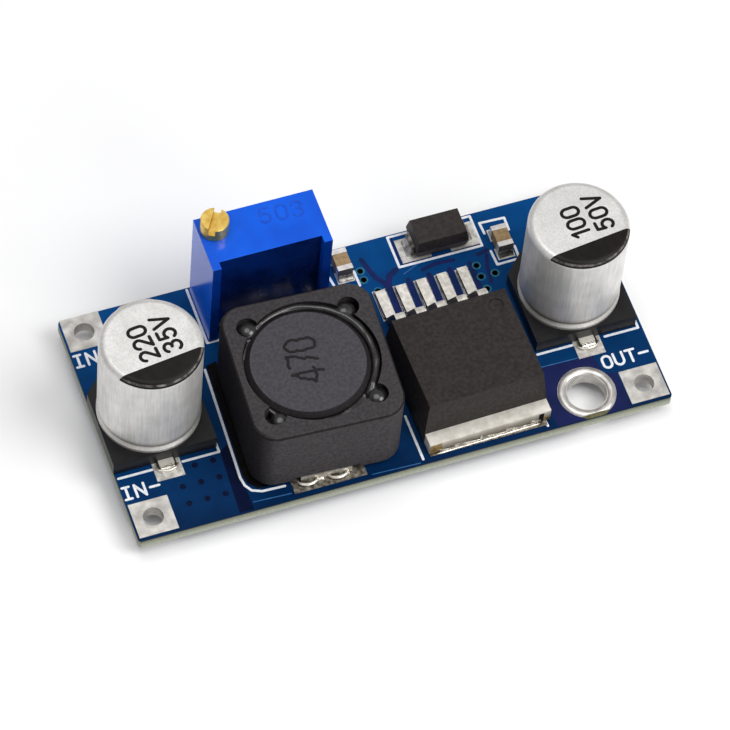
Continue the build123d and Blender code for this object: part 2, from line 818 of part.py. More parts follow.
def make_diode_leads():
    """Leads that leave the moulding at its parting line and fold down and under it."""
    half = diode_len / 2
    mid = diode_h / 2
    face = half + diode_lead_out - diode_lead_t / 2
    low = diode_lead_t / 2
    root = half - diode_lead_foot / 2
    points = [(root, mid), (face, mid), (face, low), (face - diode_lead_foot, low)]
    strip = bent_strip(points, diode_lead_w, diode_lead_t, diode_lead_t)
    return [Pos(diode_x, diode_y, seat_z) * Rot(0, 0, turn) * strip for turn in (-90, 90)]


def chip(length, width, height, end, along_x):
    """Body and two plated ends of a chip part that lies along Y, or along X."""
    half_w = width / 2
    half_len = length / 2
    core_w = half_w - chip_plating
    core_len = half_len - chip_plating
    body = block(-core_w, core_w, -core_len, core_len, chip_plating, height - chip_plating)
    whole = block(-half_w, half_w, -half_len, half_len, 0, height)
    whole = fillet(whole.edges(), chip_plating)
    ends = []
    for side in (-1, 1):
        zone = Pos(0, side * (half_len - end / 2), 0) * Box(2 * width, end, 4 * height)
        ends.append((whole & zone) - body)
    turn = Rot(0, 0, 90 if along_x else 0)
    return turn * body, [turn * piece for piece in ends]


def chip_at(x, y, sizes, along_x=False):
    """A chip part's body and ends in place; sizes are its length, width, height and end."""
    body, ends = chip(*sizes, along_x)
    place = Pos(x, y, seat_z)
    return place * body, [place * piece for piece in ends]


def solder_at(x, y, width, reach, height, turn=0):
    return Pos(x, y, seat_z) * Rot(0, 0, turn) * solder_wedge(width, reach, height)


def make_solder():
    """Fillets of solder at the feet of the surface-mounted pieces, clear of their metal."""
    joints = []
    end = cap_base_w / 2 + cap_lead_out
    cap_reach = cap_pad_out - end
    for x, y in ((in_cap_x, in_cap_y), (out_cap_x, out_cap_y)):
        joints.append(solder_at(x, y - end, cap_lead_w, cap_reach, cap_lead_t))
        joints.append(solder_at(x, y + end, cap_lead_w, cap_reach, cap_lead_t, 180))
    clip_face = coil_clip_face()
    blob_w = coil_clip_w / 2 - solder_reach
    blob_reach = coil_pad_out - clip_face - solder_skirt
    for side in (-1, 1):
        blob = solder_wedge(blob_w, blob_reach, solder_height)
        blob = Pos(coil_clip_shift + side * coil_clip_w / 4, -clip_face, 0) * blob
        joints += [coil_place(blob), coil_place(Rot(0, 0, 180) * blob)]
    tab_face = ic_depth / 2 + ic_tab_out
    tab_bead = solder_wedge(ic_tab_pad_len - ic_tab_out, solder_skirt, ic_tab_t / 2)
    joints.append(ic_place(Pos(0, -tab_face, 0) * tab_bead))
    leads = make_ic_leads()
    skirt_half = ic_lead_w / 2 + solder_skirt
    skirt_end = ic_pad_end_y - solder_skirt
    skirt_start = ic_pad_end_y - ic_pad_depth + solder_skirt
    skirt_top = seat_z + solder_skirt_h
    for x in ic_pad_places():
        skirt = block(x - skirt_half, x + skirt_half, skirt_start, skirt_end, seat_z, skirt_top)
        joints += (skirt - leads).solids()
    diode_face = diode_len / 2 + diode_lead_out
    for side, turn in ((-1, -90), (1, 90)):
        x = diode_x + side * diode_face
        joints.append(solder_at(x, diode_y, diode_lead_w, solder_reach, diode_h / 2, turn))
        res_edge = res_x + side * res_len / 2
        joints.append(solder_at(res_edge, res_y, res_w, solder_skirt, res_h / 2, turn))
    for x, y in ((in_chip_x, in_chip_y), (out_chip_x, out_chip_y)):
        joints.append(solder_at(x, y - chip_len / 2, chip_w, solder_reach, chip_h / 2))
        joints.append(solder_at(x, y + chip_len / 2, chip_w, solder_reach, chip_h / 2, 180))
    return joints


chip_sizes = (chip_len, chip_w, chip_h, chip_end)
in_chip_body, in_chip_ends = chip_at(in_chip_x, in_chip_y, chip_sizes)
out_chip_body, out_chip_ends = chip_at(out_chip_x, out_chip_y, chip_sizes)
res_body, res_ends = chip_at(res_x, res_y, (res_len, res_w, res_h, res_end), along_x=True)

nodes = {
    "circuit_board": make_board(),
    "mounting_hole_lands": make_mounting_lands(),
    "terminal_lands": make_terminal_lands(),
    "pin_lands": make_pin_lands(),
    "surface_pads": make_pads(),
    "trimmer_housing": make_trimmer_housing(),
    "trimmer_screw": make_trimmer_screw(),
    "trimmer_o_ring": make_oring(),
    "trimmer_worm_wheel": make_wheel(),
    "trimmer_wiper": make_wiper(),
    "trimmer_element": make_element(),
    "trimmer_pins": make_pins(),
    "trimmer_potting": make_potting(),
    "pin_solder": make_pin_solder(),
    "inductor_shield": make_coil_shield(),
    "inductor_base": make_coil_base(),
    "inductor_clips": make_coil_clips(),
    "inductor_core": make_coil_core(),
    "inductor_winding": make_coil_winding(),
    "inductor_glue": make_coil_glue(),
    "input_capacitor_base": cap_base(in_cap_x, in_cap_y, in_can_d),
    "input_capacitor_can": cap_can(in_cap_x, in_cap_y, in_can_d, in_can_top),
    "input_capacitor_leads": cap_leads(in_cap_x, in_cap_y),
    "output_capacitor_base": cap_base(out_cap_x, out_cap_y, out_can_d),
    "output_capacitor_can": cap_can(out_cap_x, out_cap_y, out_can_d, out_can_top),
    "output_capacitor_leads": cap_leads(out_cap_x, out_cap_y),
    "power_ic_body": make_ic_body(),
    "power_ic_tab": make_ic_tab(),
    "power_ic_leads": make_ic_leads(),
    "diode_body": make_diode_body(),
    "diode_leads": make_diode_leads(),
    "input_chip_capacitor": in_chip_body,
    "input_chip_ends": in_chip_ends,
    "output_chip_capacitor": out_chip_body,
    "output_chip_ends": out_chip_ends,
    "feedback_resistor": res_body,
    "feedback_resistor_ends": res_ends,
    "solder_fillets": make_solder(),
}

os.makedirs("parts", exist_ok=True)
for name, piece in nodes.items():
    solids = piece if isinstance(piece, (list, tuple)) else [piece]
    shape = solids[0] if len(solids) == 1 else Compound(children=list(solids))
    export_step(shape, f"parts/{name}.step")
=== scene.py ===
import math

import bmesh
import bpy
from mathutils import Matrix, Vector, noise


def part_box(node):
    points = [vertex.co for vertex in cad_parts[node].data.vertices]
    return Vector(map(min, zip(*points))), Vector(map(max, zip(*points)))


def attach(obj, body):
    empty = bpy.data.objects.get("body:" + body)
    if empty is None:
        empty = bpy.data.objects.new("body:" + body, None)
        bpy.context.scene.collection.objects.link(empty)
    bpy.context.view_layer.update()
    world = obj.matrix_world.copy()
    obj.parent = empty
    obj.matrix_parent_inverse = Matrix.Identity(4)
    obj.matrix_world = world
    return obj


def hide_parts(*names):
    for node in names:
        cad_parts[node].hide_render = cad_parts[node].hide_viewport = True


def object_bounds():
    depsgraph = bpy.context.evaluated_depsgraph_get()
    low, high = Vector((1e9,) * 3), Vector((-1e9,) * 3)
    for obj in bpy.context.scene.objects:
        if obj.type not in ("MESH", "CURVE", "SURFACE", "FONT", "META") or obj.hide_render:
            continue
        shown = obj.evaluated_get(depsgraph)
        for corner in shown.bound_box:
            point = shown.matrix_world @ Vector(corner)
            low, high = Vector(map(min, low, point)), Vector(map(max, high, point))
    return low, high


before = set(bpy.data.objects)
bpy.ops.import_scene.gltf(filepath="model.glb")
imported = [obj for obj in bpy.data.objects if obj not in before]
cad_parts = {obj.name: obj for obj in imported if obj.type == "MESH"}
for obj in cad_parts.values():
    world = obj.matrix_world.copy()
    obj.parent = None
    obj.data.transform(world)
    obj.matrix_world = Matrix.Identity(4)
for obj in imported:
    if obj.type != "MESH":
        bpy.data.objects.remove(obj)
cad_low, cad_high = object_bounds()

MM = 0.001
WHITE = (1.0, 1.0, 1.0)
BLACK = (0.0, 0.0, 0.0)
BODY = "module"
BOARD_LOW, BOARD_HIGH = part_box("circuit_board")
BOARD_TOP = BOARD_HIGH.z

# The photograph's camera, worked out from the board's corners and holes: degrees and millimetres
AIM = (0.094, -0.066, 0.0)
AZIMUTH = -24.6396
ELEVATION = 57.9939
ROLL = 6.2758
DISTANCE = 378.706
LENS = 242.772
SENSOR = 36.0

# Sizes of the printed and melted details, in millimetres
INK_T = 0.01
INK_RIM = 0.4
CAN_STROKE = 0.26
COIL_X = -5.65
COIL_Y = -3.05
COIL_BORE_D = 10.5

# Glue round the inductor's core: where its rope starts and ends in degrees, and each ear's blob
# as x, y, radius and how far its top lies under the shield's
GLUE_START = 128.0
GLUE_END = -48.0
GLUE_BLOBS = [
    (-9.35, 1.18, 0.84, 0.12),
    (-1.78, 0.68, 0.92, 0.08),
    (-1.88, -7.22, 0.86, 0.14),
    (-9.4, -6.85, 0.80, 0.45),
]

# Solder that piled up: crescents in front of the inductor, and round the capacitors' lead tips
COIL_CRESCENTS = [(-7.7, -8.95, 0.8, 0.52), (-5.32, -9.0, 0.84, 0.55)]
CAN_LEAD_TIPS = [(-17.45, -4.7), (16.9, -3.95)]

# Vias that are open, and a block of three by three under the mask that lacks its last one
OPEN_VIAS = [
    (2.30, 7.56), (2.30, 6.72), (3.04, 5.42), (11.14, 5.38), (11.14, 4.31), (12.3, 4.32), (11.2, 3.12),
]
BLOCK_VIAS = [(x, y) for x in (-13.97, -15.42, -16.87) for y in (-8.27, -6.74, -5.21)][:-1]

# Plated holes as x, y and radius
MOUNT_HOLES = [(15.28, -8.04, 1.6), (-15.28, 8.04, 1.6)]
TERMINAL_HOLES = [(x, y, 0.82) for x in (-19.8, 19.8) for y in (-8.57, 8.57)]

# Width of the mounting holes' rings and how high the tin stands on them
RING_WIDTH = 0.68
TIN_RISE = 0.14

# How deep the recess in the trimmer's front is
RECESS_DEPTH = 0.63

# Strips without copper under the mask, as a width and their runs
LEAD_PITCH = 1.7
LEAD_GAPS = [3.92 + LEAD_PITCH * order for order in range(5)]
MASK_GAPS = [
    (0.42, [[(x, 2.6), (x, 5.7)] for x in LEAD_GAPS[1:]]),
    (0.5, [[(LEAD_GAPS[0], 2.6), (3.98, 5.7), (4.35, 6.5), (5.0, 6.85)]]),
    (0.34, [[(7.0, 6.25), (8.1, 6.5), (9.6, 6.4)], [(11.6, 6.3), (12.4, 6.5)]]),
    (0.42, [[(2.73, 8.52), (3.04, 7.33), (3.27, 6.6), (3.75, 6.0), (3.95, 5.0)]]),
    (0.14, [[(5.6, 7.15), (12.05, 7.13)], [(5.6, 9.72), (5.6, 7.15)], [(12.05, 7.13), (12.05, 9.7)]]),
    (0.3, [[(12.25, 6.1), (11.9, 5.0), (11.75, 3.6)]]),
]
GAP_BAND = [(-13.23, -4.66), (-13.5, -10.2), (-12.35, -10.2), (-12.37, -8.5), (-12.5, -4.2)]

# Painted shadow on the board beside the inductor's left side
COIL_SHADOW = [
    (-11.85, 2.9), (-12.28, -7.2), (-12.1, -7.95), (-11.5, -8.55), (-10.8, -8.65), (-10.6, -8.3),
    (-11.0, 3.1),
]

# Deeper blue round the front mounting hole, with a slit that joins its hole to its front edge
NAVY_RIM = 0.3
NAVY_SLIT = 0.01
NAVY_PATCH = [
    (12.1, -10.25), (18.15, -10.25), (18.1, -7.05), (17.2, -6.75), (16.85, -4.98), (12.1, -4.9),
]
# Pale lines along the raised edges of tracks: painted highlight
TRACE_EDGES = [
    [(12.5, -4.85), (16.72, -4.93)], [(-12.2, -9.6), (-9.25, -9.74)], [(-2.85, -10.0), (0.95, -10.15)],
    [(5.48, 6.31), (7.05, 6.99)],
]
BARE_STRIP = [(14.15, -10.0), (14.5, -10.3), (16.0, -10.3), (16.45, -10.0)]

# Details of the tab's front, which runs from its left end at a slight slope. Each patch has its
# material, left end, width, bottom and top, and the bead of solder its start and length
TAB_LEFT = 1.844
TAB_SKEW = 0.0262
TAB_ENDS = [
    ("copper", 1.87, 0.95, 1.15, 2.2),
    # A dark patch of painted shadow in the notch by the right end
    ("painted_shadow", 10.78, 0.4, 1.1, 2.15),
    ("copper", 11.2, 0.5, 1.1, 1.5),
]
TAB_BEAD_Y = -9.84
TAB_BEAD_START = 2.35
TAB_BEAD_LEN = 8.5

# Marks on the inductor and the trimmer: each letter with its place and its width
COIL_MARKS = [("4", -5.15, -4.85, 0.85), ("7", -5.15, -3.25, 0.75), ("0", -4.95, -2.0, 0.75)]
TRIMMER_MARKS = [("5", -6.05, 7.85, 1.1), ("0", -4.75, 7.79, 1.1), ("3", -3.5, 7.73, 1.1)]

# Print on the cans: the ends of the black segment's chord, then each value's place and turn
PRINT_HEIGHT = 1.36
CAN_PRINTS = {
    "input": ([(-21.13, -2.42), (-13.98, -1.58)],
              [("220", (-17.25, -1.5), 96.8), ("35V", (-15.33, -1.22), 96.5)]),
    "output": ([(13.33, -1.66), (20.46, -0.83)],
               [("100", (17.4, -0.45), 94.5), ("50V", (19.4, -0.35), 94.5)]),
}

# Lamps, as place, size in metres and watts
SKY_STRENGTH = 0.38
LAMPS = {
    "key_light": ((0.20, -0.16, 0.36), 0.26, 1.0),
    "top_light": ((-0.03, 0.06, 0.45), 0.34, 0.75),
    "front_light": ((0.12, -0.40, 0.17), 0.24, 0.35),
}


# Materials

def texture(tree, size, detail=3.0, stretch=None):
    """Noise whose features are about size metres across, in the object's own frame."""
    place = tree.nodes.new("ShaderNodeTexCoord")
    node = tree.nodes.new("ShaderNodeTexNoise")
    node.inputs["Scale"].default_value = 1.0 / size
    node.inputs["Detail"].default_value = detail
    source = place.outputs["Object"]
    if stretch:
        mapping = tree.nodes.new("ShaderNodeMapping")
        mapping.inputs["Scale"].default_value = stretch
        tree.links.new(source, mapping.inputs["Vector"])
        source = mapping.outputs["Vector"]
    tree.links.new(source, node.inputs["Vector"])
    return node.outputs["Fac"]


def ramp(tree, value, stops):
    """Colour by a value: stops are (position, colour) pairs."""
    node = tree.nodes.new("ShaderNodeValToRGB")
    marks = node.color_ramp.elements
    while len(marks) < len(stops):
        marks.new(0.5)
    for mark, (position, colour) in zip(marks, stops):
        mark.position = position
        mark.color = (*colour, 1.0)
    tree.links.new(value, node.inputs["Fac"])
    return node.outputs["Color"]


def shades(tree, value, dark, light, low=0.35, high=0.65):
    """Two colours blended by a value between low and high."""
    return ramp(tree, value, [(low, dark), (high, light)])


def white(tree):
    """A colour that tints nothing."""
    node = tree.nodes.new("ShaderNodeRGB")
    node.outputs[0].default_value = (*WHITE, 1.0)
    return node.outputs[0]


def spread(tree, value, low, high, start=0.0, end=1.0):
    """A value between low and high, mapped to a range from start to end."""
    node = tree.nodes.new("ShaderNodeMapRange")
    for name, limit in (("From Min", low), ("From Max", high), ("To Min", start), ("To Max", end)):
        node.inputs[name].default_value = limit
    tree.links.new(value, node.inputs["Value"])
    return node.outputs["Result"]


def relief(tree, shader, value, depth):
    """Bump of the given depth in metres."""
    bump = tree.nodes.new("ShaderNodeBump")
    bump.inputs["Strength"].default_value = 1.0
    bump.inputs["Distance"].default_value = depth
    tree.links.new(value, bump.inputs["Height"])
    tree.links.new(bump.outputs["Normal"], shader.inputs["Normal"])


def surface(name, dark, light, rough, metal=0.0, patch=2.0, grain=0.2, depth=0.0, coat=0.0,
            specular=0.5):
    """Procedural finish. patch and grain are feature sizes and depth the relief, in millimetres."""
    material = bpy.data.materials.new(name)
    material.use_nodes = True
    tree = material.node_tree
    shader = tree.nodes["Principled BSDF"]
    broad = texture(tree, patch * MM)
    fine = texture(tree, grain * MM, 4.0)
    tree.links.new(shades(tree, broad, dark, light), shader.inputs["Base Color"])
    roughness = spread(tree, fine, 0.3, 0.7, rough * 0.85, min(1.0, rough * 1.15))
    tree.links.new(roughness, shader.inputs["Roughness"])
    shader.inputs["Metallic"].default_value = metal
    shader.inputs["Specular IOR Level"].default_value = specular
    shader.inputs["Coat Weight"].default_value = coat
    shader.inputs["Coat Roughness"].default_value = 0.08
    if depth:
        relief(tree, shader, fine, depth * MM)
    return material


def paint(name, material):
    """Gives a CAD node its material."""
    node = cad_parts[name]
    node.data.materials.clear()
    node.data.materials.append(material)


def blend(tree, kind, first, second):
    """Node that blends two colours in full."""
    node = tree.nodes.new("ShaderNodeMix")
    node.data_type = "RGBA"
    node.blend_type = kind
    node.inputs["Factor"].default_value = 1.0
    tree.links.new(first, node.inputs[6])
    tree.links.new(second, node.inputs[7])
    return node


def join(tree, factor, first, second):
    """Mix of two colours by a factor."""
    node = blend(tree, "MIX", first, second)
    tree.links.new(factor, node.inputs["Factor"])
    return node.outputs[2]


def times(tree, first, second):
    """Product of two colours."""
    return blend(tree, "MULTIPLY", first, second).outputs[2]


def base_colour(tree):
    """The colour input of a material's shader, and what feeds it."""
    target = tree.nodes["Principled BSDF"].inputs["Base Color"]
    return target, target.links[0].from_socket


def tint(material, colour):
    """Multiplies a material's colour by another, which is made from its own node tree."""
    tree = material.node_tree
    target, before = base_colour(tree)
    tree.links.new(times(tree, before, colour), target)
    return material


def reckon(tree, value, kind, limit=0.0):
    """ABSOLUTE gives a value's size, and LESS_THAN and GREATER_THAN give 1 past a limit, else 0."""
    node = tree.nodes.new("ShaderNodeMath")
    node.operation = kind
    node.inputs[1].default_value = limit
    tree.links.new(value, node.inputs[0])
    return node.outputs[0]


def axes(tree, source):
    """X, Y and Z outputs of the object's Normal or Object coordinates."""
    place = tree.nodes.new("ShaderNodeTexCoord")
    split = tree.nodes.new("ShaderNodeSeparateXYZ")
    tree.links.new(place.outputs[source], split.inputs["Vector"])
    return split.outputs


def across(tree, value, low, high, stops):
    """Colour by place: stops are (position, colour) pairs between two limits."""
    return ramp(tree, spread(tree, value, low, high), stops)


def board_material():
    """Blue solder mask on both faces, with painted shade that darkens it toward the front, and bare
    laminate on the sawn edges and in the holes.
    """
    material = surface("board_mask", BLACK, WHITE, 0.42, patch=1.6,
                       grain=0.5, depth=0.004, specular=0.04)
    tree = material.node_tree
    target, cloud = base_colour(tree)
    spot = axes(tree, "Object")
    # Both blues run darker toward the board's front: painted shade.
    deep = across(tree, spot["Y"], BOARD_LOW.y, BOARD_HIGH.y,
                  [(0.0, (0.0006, 0.014, 0.055)), (0.15, (0.0008, 0.024, 0.092)),
                   (0.45, (0.001, 0.034, 0.125)), (1.0, (0.001, 0.050, 0.185))])
    bright = across(tree, spot["Y"], BOARD_LOW.y, BOARD_HIGH.y,
                    [(0.0, (0.0008, 0.018, 0.070)), (0.15, (0.001, 0.030, 0.112)),
                     (0.45, (0.001, 0.042, 0.152)), (1.0, (0.0015, 0.060, 0.220))])
    mask = join(tree, cloud, deep, bright)
    steepness = reckon(tree, axes(tree, "Normal")["Z"], "ABSOLUTE")
    edge = reckon(tree, steepness, "LESS_THAN", 0.5)
    core = across(tree, spot["Z"], 0.0, BOARD_TOP,
                  [(0.0, (0.50, 0.52, 0.44)), (0.55, (0.33, 0.35, 0.27)), (0.86, (0.20, 0.21, 0.16)),
                   (0.93, (0.012, 0.016, 0.03))])
    weave = shades(tree, texture(tree, 0.22 * MM, 3.0, (1.0, 1.0, 3.0)), (0.7, 0.7, 0.7), WHITE)
    tree.links.new(join(tree, edge, mask, times(tree, core, weave)), target)
    return material


def shell_material():
    """Glossy blue moulding, with painted shade on its front faces, deepest on the floor of the recess.
    """
    material = surface("trimmer_moulding", (0.0, 0.082, 0.62), (0.0, 0.108, 0.76), 0.18,
                       patch=3.0, grain=0.8, depth=0.003, specular=0.38)
    tree = material.node_tree
    target, body = base_colour(tree)
    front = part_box("trimmer_housing")[0].y
    # Faces turned to the front get darker blues: painted shade.
    facing = reckon(tree, axes(tree, "Normal")["Y"], "LESS_THAN", -0.5)
    inside = reckon(tree, axes(tree, "Object")["Y"], "GREATER_THAN", front + RECESS_DEPTH * MM / 2)
    posts = shades(tree, texture(tree, 2.0 * MM), (0.0, 0.024, 0.20), (0.001, 0.034, 0.28))
    floor = shades(tree, texture(tree, 3.5 * MM), (0.0, 0.004, 0.036), (0.001, 0.016, 0.12))
    shaded_front = join(tree, inside, posts, floor)
    tree.links.new(join(tree, facing, body, shaded_front), target)
    return material


def can_material():
    """Aluminium drawn upright, with a painted highlight on the bead and painted shade in the crimped
    groove over it.
    """
    material = surface("can_aluminium", (0.70, 0.69, 0.67), (0.80, 0.79, 0.77), 0.46, 0.6,
                       patch=1.5, grain=0.15, depth=0.003, specular=0.35)
    tree = material.node_tree
    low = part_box("input_capacitor_can")[0].z
    # Painted light along the can's foot: a lighter band on the bead, a dark one in the groove.
    groove_shade = across(tree, axes(tree, "Object")["Z"], low, low + 1.6 * MM,
                   [(0.0, (0.72, 0.71, 0.69)), (0.44, (0.95, 0.94, 0.92)), (0.52, (0.30, 0.28, 0.26)),
                    (0.66, (0.26, 0.24, 0.22)), (0.78, (0.72, 0.70, 0.68)), (1.0, WHITE)])
    drawn = shades(tree, texture(tree, 0.16 * MM, 2.0, (1.0, 1.0, 0.06)), (0.86, 0.86, 0.86), WHITE)
    return tint(tint(material, groove_shade), drawn)


def plate_material():
    """Tinned tab whose cut front carries painted shade, darker toward the board."""
    material = surface("tab_plate_tin", (0.68, 0.64, 0.57), (0.86, 0.82, 0.74), 0.42, 0.5, patch=0.8,
                       grain=0.3, depth=0.012, specular=0.4)
    tree = material.node_tree
    low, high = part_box("power_ic_tab")
    facing = reckon(tree, axes(tree, "Normal")["Y"], "LESS_THAN", -0.5)
    # Painted shade on the faces turned to the front, deepest at the board.
    front_shade = across(tree, axes(tree, "Object")["Z"], low.z, high.z,
                  [(0.0, (0.10, 0.09, 0.075)), (0.35, (0.28, 0.26, 0.23)), (0.7, (0.62, 0.60, 0.56)),
                   (1.0, (0.9, 0.9, 0.88))])
    return tint(material, join(tree, facing, white(tree), front_shade))


def shade_side(material, axis, stops, low=-1.0, high=1.0):
    """Painted shade: tints a material by one axis of the surface's normal, so that faces turned one way
    come out darker.
    """
    tree = material.node_tree
    return tint(material, across(tree, axes(tree, "Normal")[axis], low, high, stops))


def ferrite_material():
    """Ferrite, with painted shade on its left side and along the chamfer of its top."""
    material = surface("ferrite", (0.036, 0.033, 0.035), (0.056, 0.052, 0.055), 0.62,
                       patch=0.25, grain=0.12, depth=0.018, specular=0.08)
    tree = material.node_tree
    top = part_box("inductor_shield")[1].z
    # Painted shade: a dark line along the top's chamfer, then darker faces turned to the left.
    chamfer_shade = across(tree, axes(tree, "Object")["Z"], top - 0.4 * MM, top,
                  [(0.0, WHITE), (0.33, WHITE), (0.42, (0.34, 0.30, 0.28)),
                   (0.62, (0.38, 0.34, 0.32)), (0.76, WHITE)])
    tint(material, chamfer_shade)
    return shade_side(material, "X", [(0.0, (0.20, 0.18, 0.19)), (0.12, (0.34, 0.32, 0.34)),
                                      (0.4, WHITE)])


def ink_material():
    """Black print, with a painted grey highlight where it bends over the can's rim."""
    material = surface("can_ink", (0.005, 0.0035, 0.0035), (0.010, 0.007, 0.007), 0.42,
                       patch=0.6, grain=0.1, depth=0.003, specular=0.16)
    tree = material.node_tree
    target, plain = base_colour(tree)
    # Painted highlight on the rounded rim, broken up by noise.
    bend = across(tree, axes(tree, "Normal")["Z"], 0.0, 1.0,
                  [(0.0, BLACK), (0.50, BLACK), (0.60, WHITE),
                   (0.72, WHITE), (0.82, BLACK)])
    patchy = shades(tree, texture(tree, 0.5 * MM), (0.1, 0.1, 0.1), WHITE)
    rim_highlight = shades(tree, texture(tree, 0.2 * MM), (0.11, 0.10, 0.095), (0.24, 0.23, 0.22))
    tree.links.new(join(tree, times(tree, bend, patchy), plain, rim_highlight), target)
    return material


def pad_material():
    """Tinned pads, stained by flux in front of the inductor."""
    material = surface("surface_pad_tin", (0.46, 0.44, 0.41), (0.74, 0.72, 0.68), 0.42, 0.5, patch=0.45,
                       grain=0.25, depth=0.014, specular=0.3)
    tree = material.node_tree
    flecks = shades(tree, texture(tree, 0.35 * MM), (0.16, 0.14, 0.115), (0.66, 0.62, 0.55), 0.38, 0.66)
    front = reckon(tree, axes(tree, "Object")["Y"], "LESS_THAN", -8.6 * MM)
    return tint(material, join(tree, front, white(tree), flecks))


def board_finishes():
    """Solder mask, tin and solder."""
    return {
        "mask": board_material(),
        "tin": surface("pad_tin", (0.40, 0.38, 0.36), (0.68, 0.66, 0.62), 0.45, 0.45, patch=1.1,
                       grain=0.25, depth=0.014, specular=0.3),
        "ring_tin": surface("ring_tin", (0.46, 0.44, 0.42), (0.74, 0.72, 0.69), 0.34, 0.7, patch=1.0,
                            grain=0.25, depth=0.01, specular=0.3),
        "pad": pad_material(),
        "plate": plate_material(),
        "solder": surface("solder", (0.26, 0.24, 0.20), (0.74, 0.71, 0.65), 0.28, 0.9, patch=0.45,
                          grain=0.3, depth=0.006),
    }


def trimmer_finishes():
    """Materials of the trimmer."""
    return {
        "shell": shell_material(),
        "brass": surface("screw_brass", (0.76, 0.47, 0.09), (0.95, 0.69, 0.20), 0.34, 0.95,
                         patch=0.6, grain=0.35, depth=0.0012),
        "rubber": surface("seal_rubber", (0.012, 0.012, 0.012), (0.02, 0.02, 0.02), 0.5),
        "wheel": surface("wheel_moulding", (0.55, 0.53, 0.48), (0.7, 0.68, 0.62), 0.4),
        "contact": surface("contact_metal", (0.6, 0.45, 0.25), (0.75, 0.6, 0.35), 0.3, 1.0),
        "element": surface("element_ceramic", (0.55, 0.53, 0.5), (0.7, 0.68, 0.64), 0.55),
        "pin": surface("pin_metal", (0.55, 0.53, 0.5), (0.7, 0.68, 0.64), 0.3, 1.0),
        "potting": surface("potting_resin", (0.01, 0.02, 0.10), (0.02, 0.03, 0.14), 0.3, grain=0.6,
                           depth=0.01),
    }


def coil_finishes():
    """Materials of the inductor."""
    return {
        "ferrite": ferrite_material(),
        # The core's sides get painted shade; its top stays bright.
        "core": shade_side(
            surface("core_ferrite", (0.050, 0.046, 0.055), (0.070, 0.066, 0.076), 0.6, patch=0.25,
                    grain=0.12, depth=0.012, specular=0.1),
            "Z", [(0.0, (0.3, 0.27, 0.26)), (0.86, (0.34, 0.31, 0.30)), (0.93, (0.8, 0.78, 0.76)),
                  (0.985, WHITE)], 0.0, 1.0),
        "winding": surface("winding_wire", (0.30, 0.09, 0.03), (0.42, 0.15, 0.05), 0.3, 0.8),
        "coil_base": surface("coil_base_moulding", (0.008, 0.008, 0.008), (0.014, 0.014, 0.014), 0.45,
                             specular=0.2),
        "clip": surface("clip_metal", (0.55, 0.53, 0.5), (0.72, 0.7, 0.66), 0.3, 1.0, grain=0.3,
                        depth=0.006),
        "glue": surface("glue_resin", (0.010, 0.009, 0.009), (0.026, 0.024, 0.024), 0.24,
                        patch=0.8, grain=0.5, depth=0.02, coat=0.35, specular=0.5),
    }


def package_finishes():
    """Materials of the capacitors, the package, the diode and the chip parts."""
    return {
        "cap_base": surface("capacitor_base_moulding", (0.007, 0.007, 0.008), (0.013, 0.012, 0.013),
                            0.38, grain=0.3, depth=0.006, specular=0.25),
        "can": can_material(),
        "package": surface("package_moulding", (0.020, 0.016, 0.015), (0.034, 0.028, 0.027), 0.55,
                           patch=0.3, grain=0.1, depth=0.014, specular=0.14),
        "tab": surface("tab_tin", (0.66, 0.62, 0.55), (0.84, 0.80, 0.72), 0.42, 0.5, patch=0.8,
                       grain=0.3, depth=0.012, specular=0.4),
        "diode": surface("diode_moulding", (0.018, 0.014, 0.013), (0.032, 0.026, 0.024), 0.45,
                         patch=0.4, grain=0.1, depth=0.01, specular=0.25),
        "chip": surface("chip_ceramic", (0.26, 0.17, 0.075), (0.38, 0.26, 0.13), 0.5, patch=0.3,
                        grain=0.1, depth=0.006, specular=0.3),
        # Painted shade on the faces of the end caps turned to the front.
        "chip_end": shade_side(
            surface("chip_end_tin", (0.64, 0.60, 0.57), (0.84, 0.80, 0.77), 0.38, 0.5, patch=0.3,
                    grain=0.12, depth=0.015, specular=0.4),
            "Y", [(0.0, (0.12, 0.11, 0.11)), (0.15, (0.3, 0.29, 0.29)), (0.4, WHITE)]),
        "diode_lead": surface("diode_lead_tin", (0.085, 0.075, 0.055), (0.42, 0.39, 0.33), 0.4, 0.6,
                              patch=0.5, grain=0.2, depth=0.01, specular=0.3),
        # Painted shade on the faces of the leads turned to the left.
        "ic_lead": shade_side(
            surface("ic_lead_tin", (0.60, 0.57, 0.51), (0.88, 0.84, 0.77), 0.4, 0.5, patch=0.5,
                    grain=0.2, depth=0.014, specular=0.4),
            "X", [(0.0, (0.14, 0.12, 0.10)), (0.15, (0.3, 0.28, 0.25)), (0.35, WHITE)]),
        "resistor": surface("resistor_coat", (0.012, 0.012, 0.013), (0.02, 0.02, 0.022), 0.35),
    }


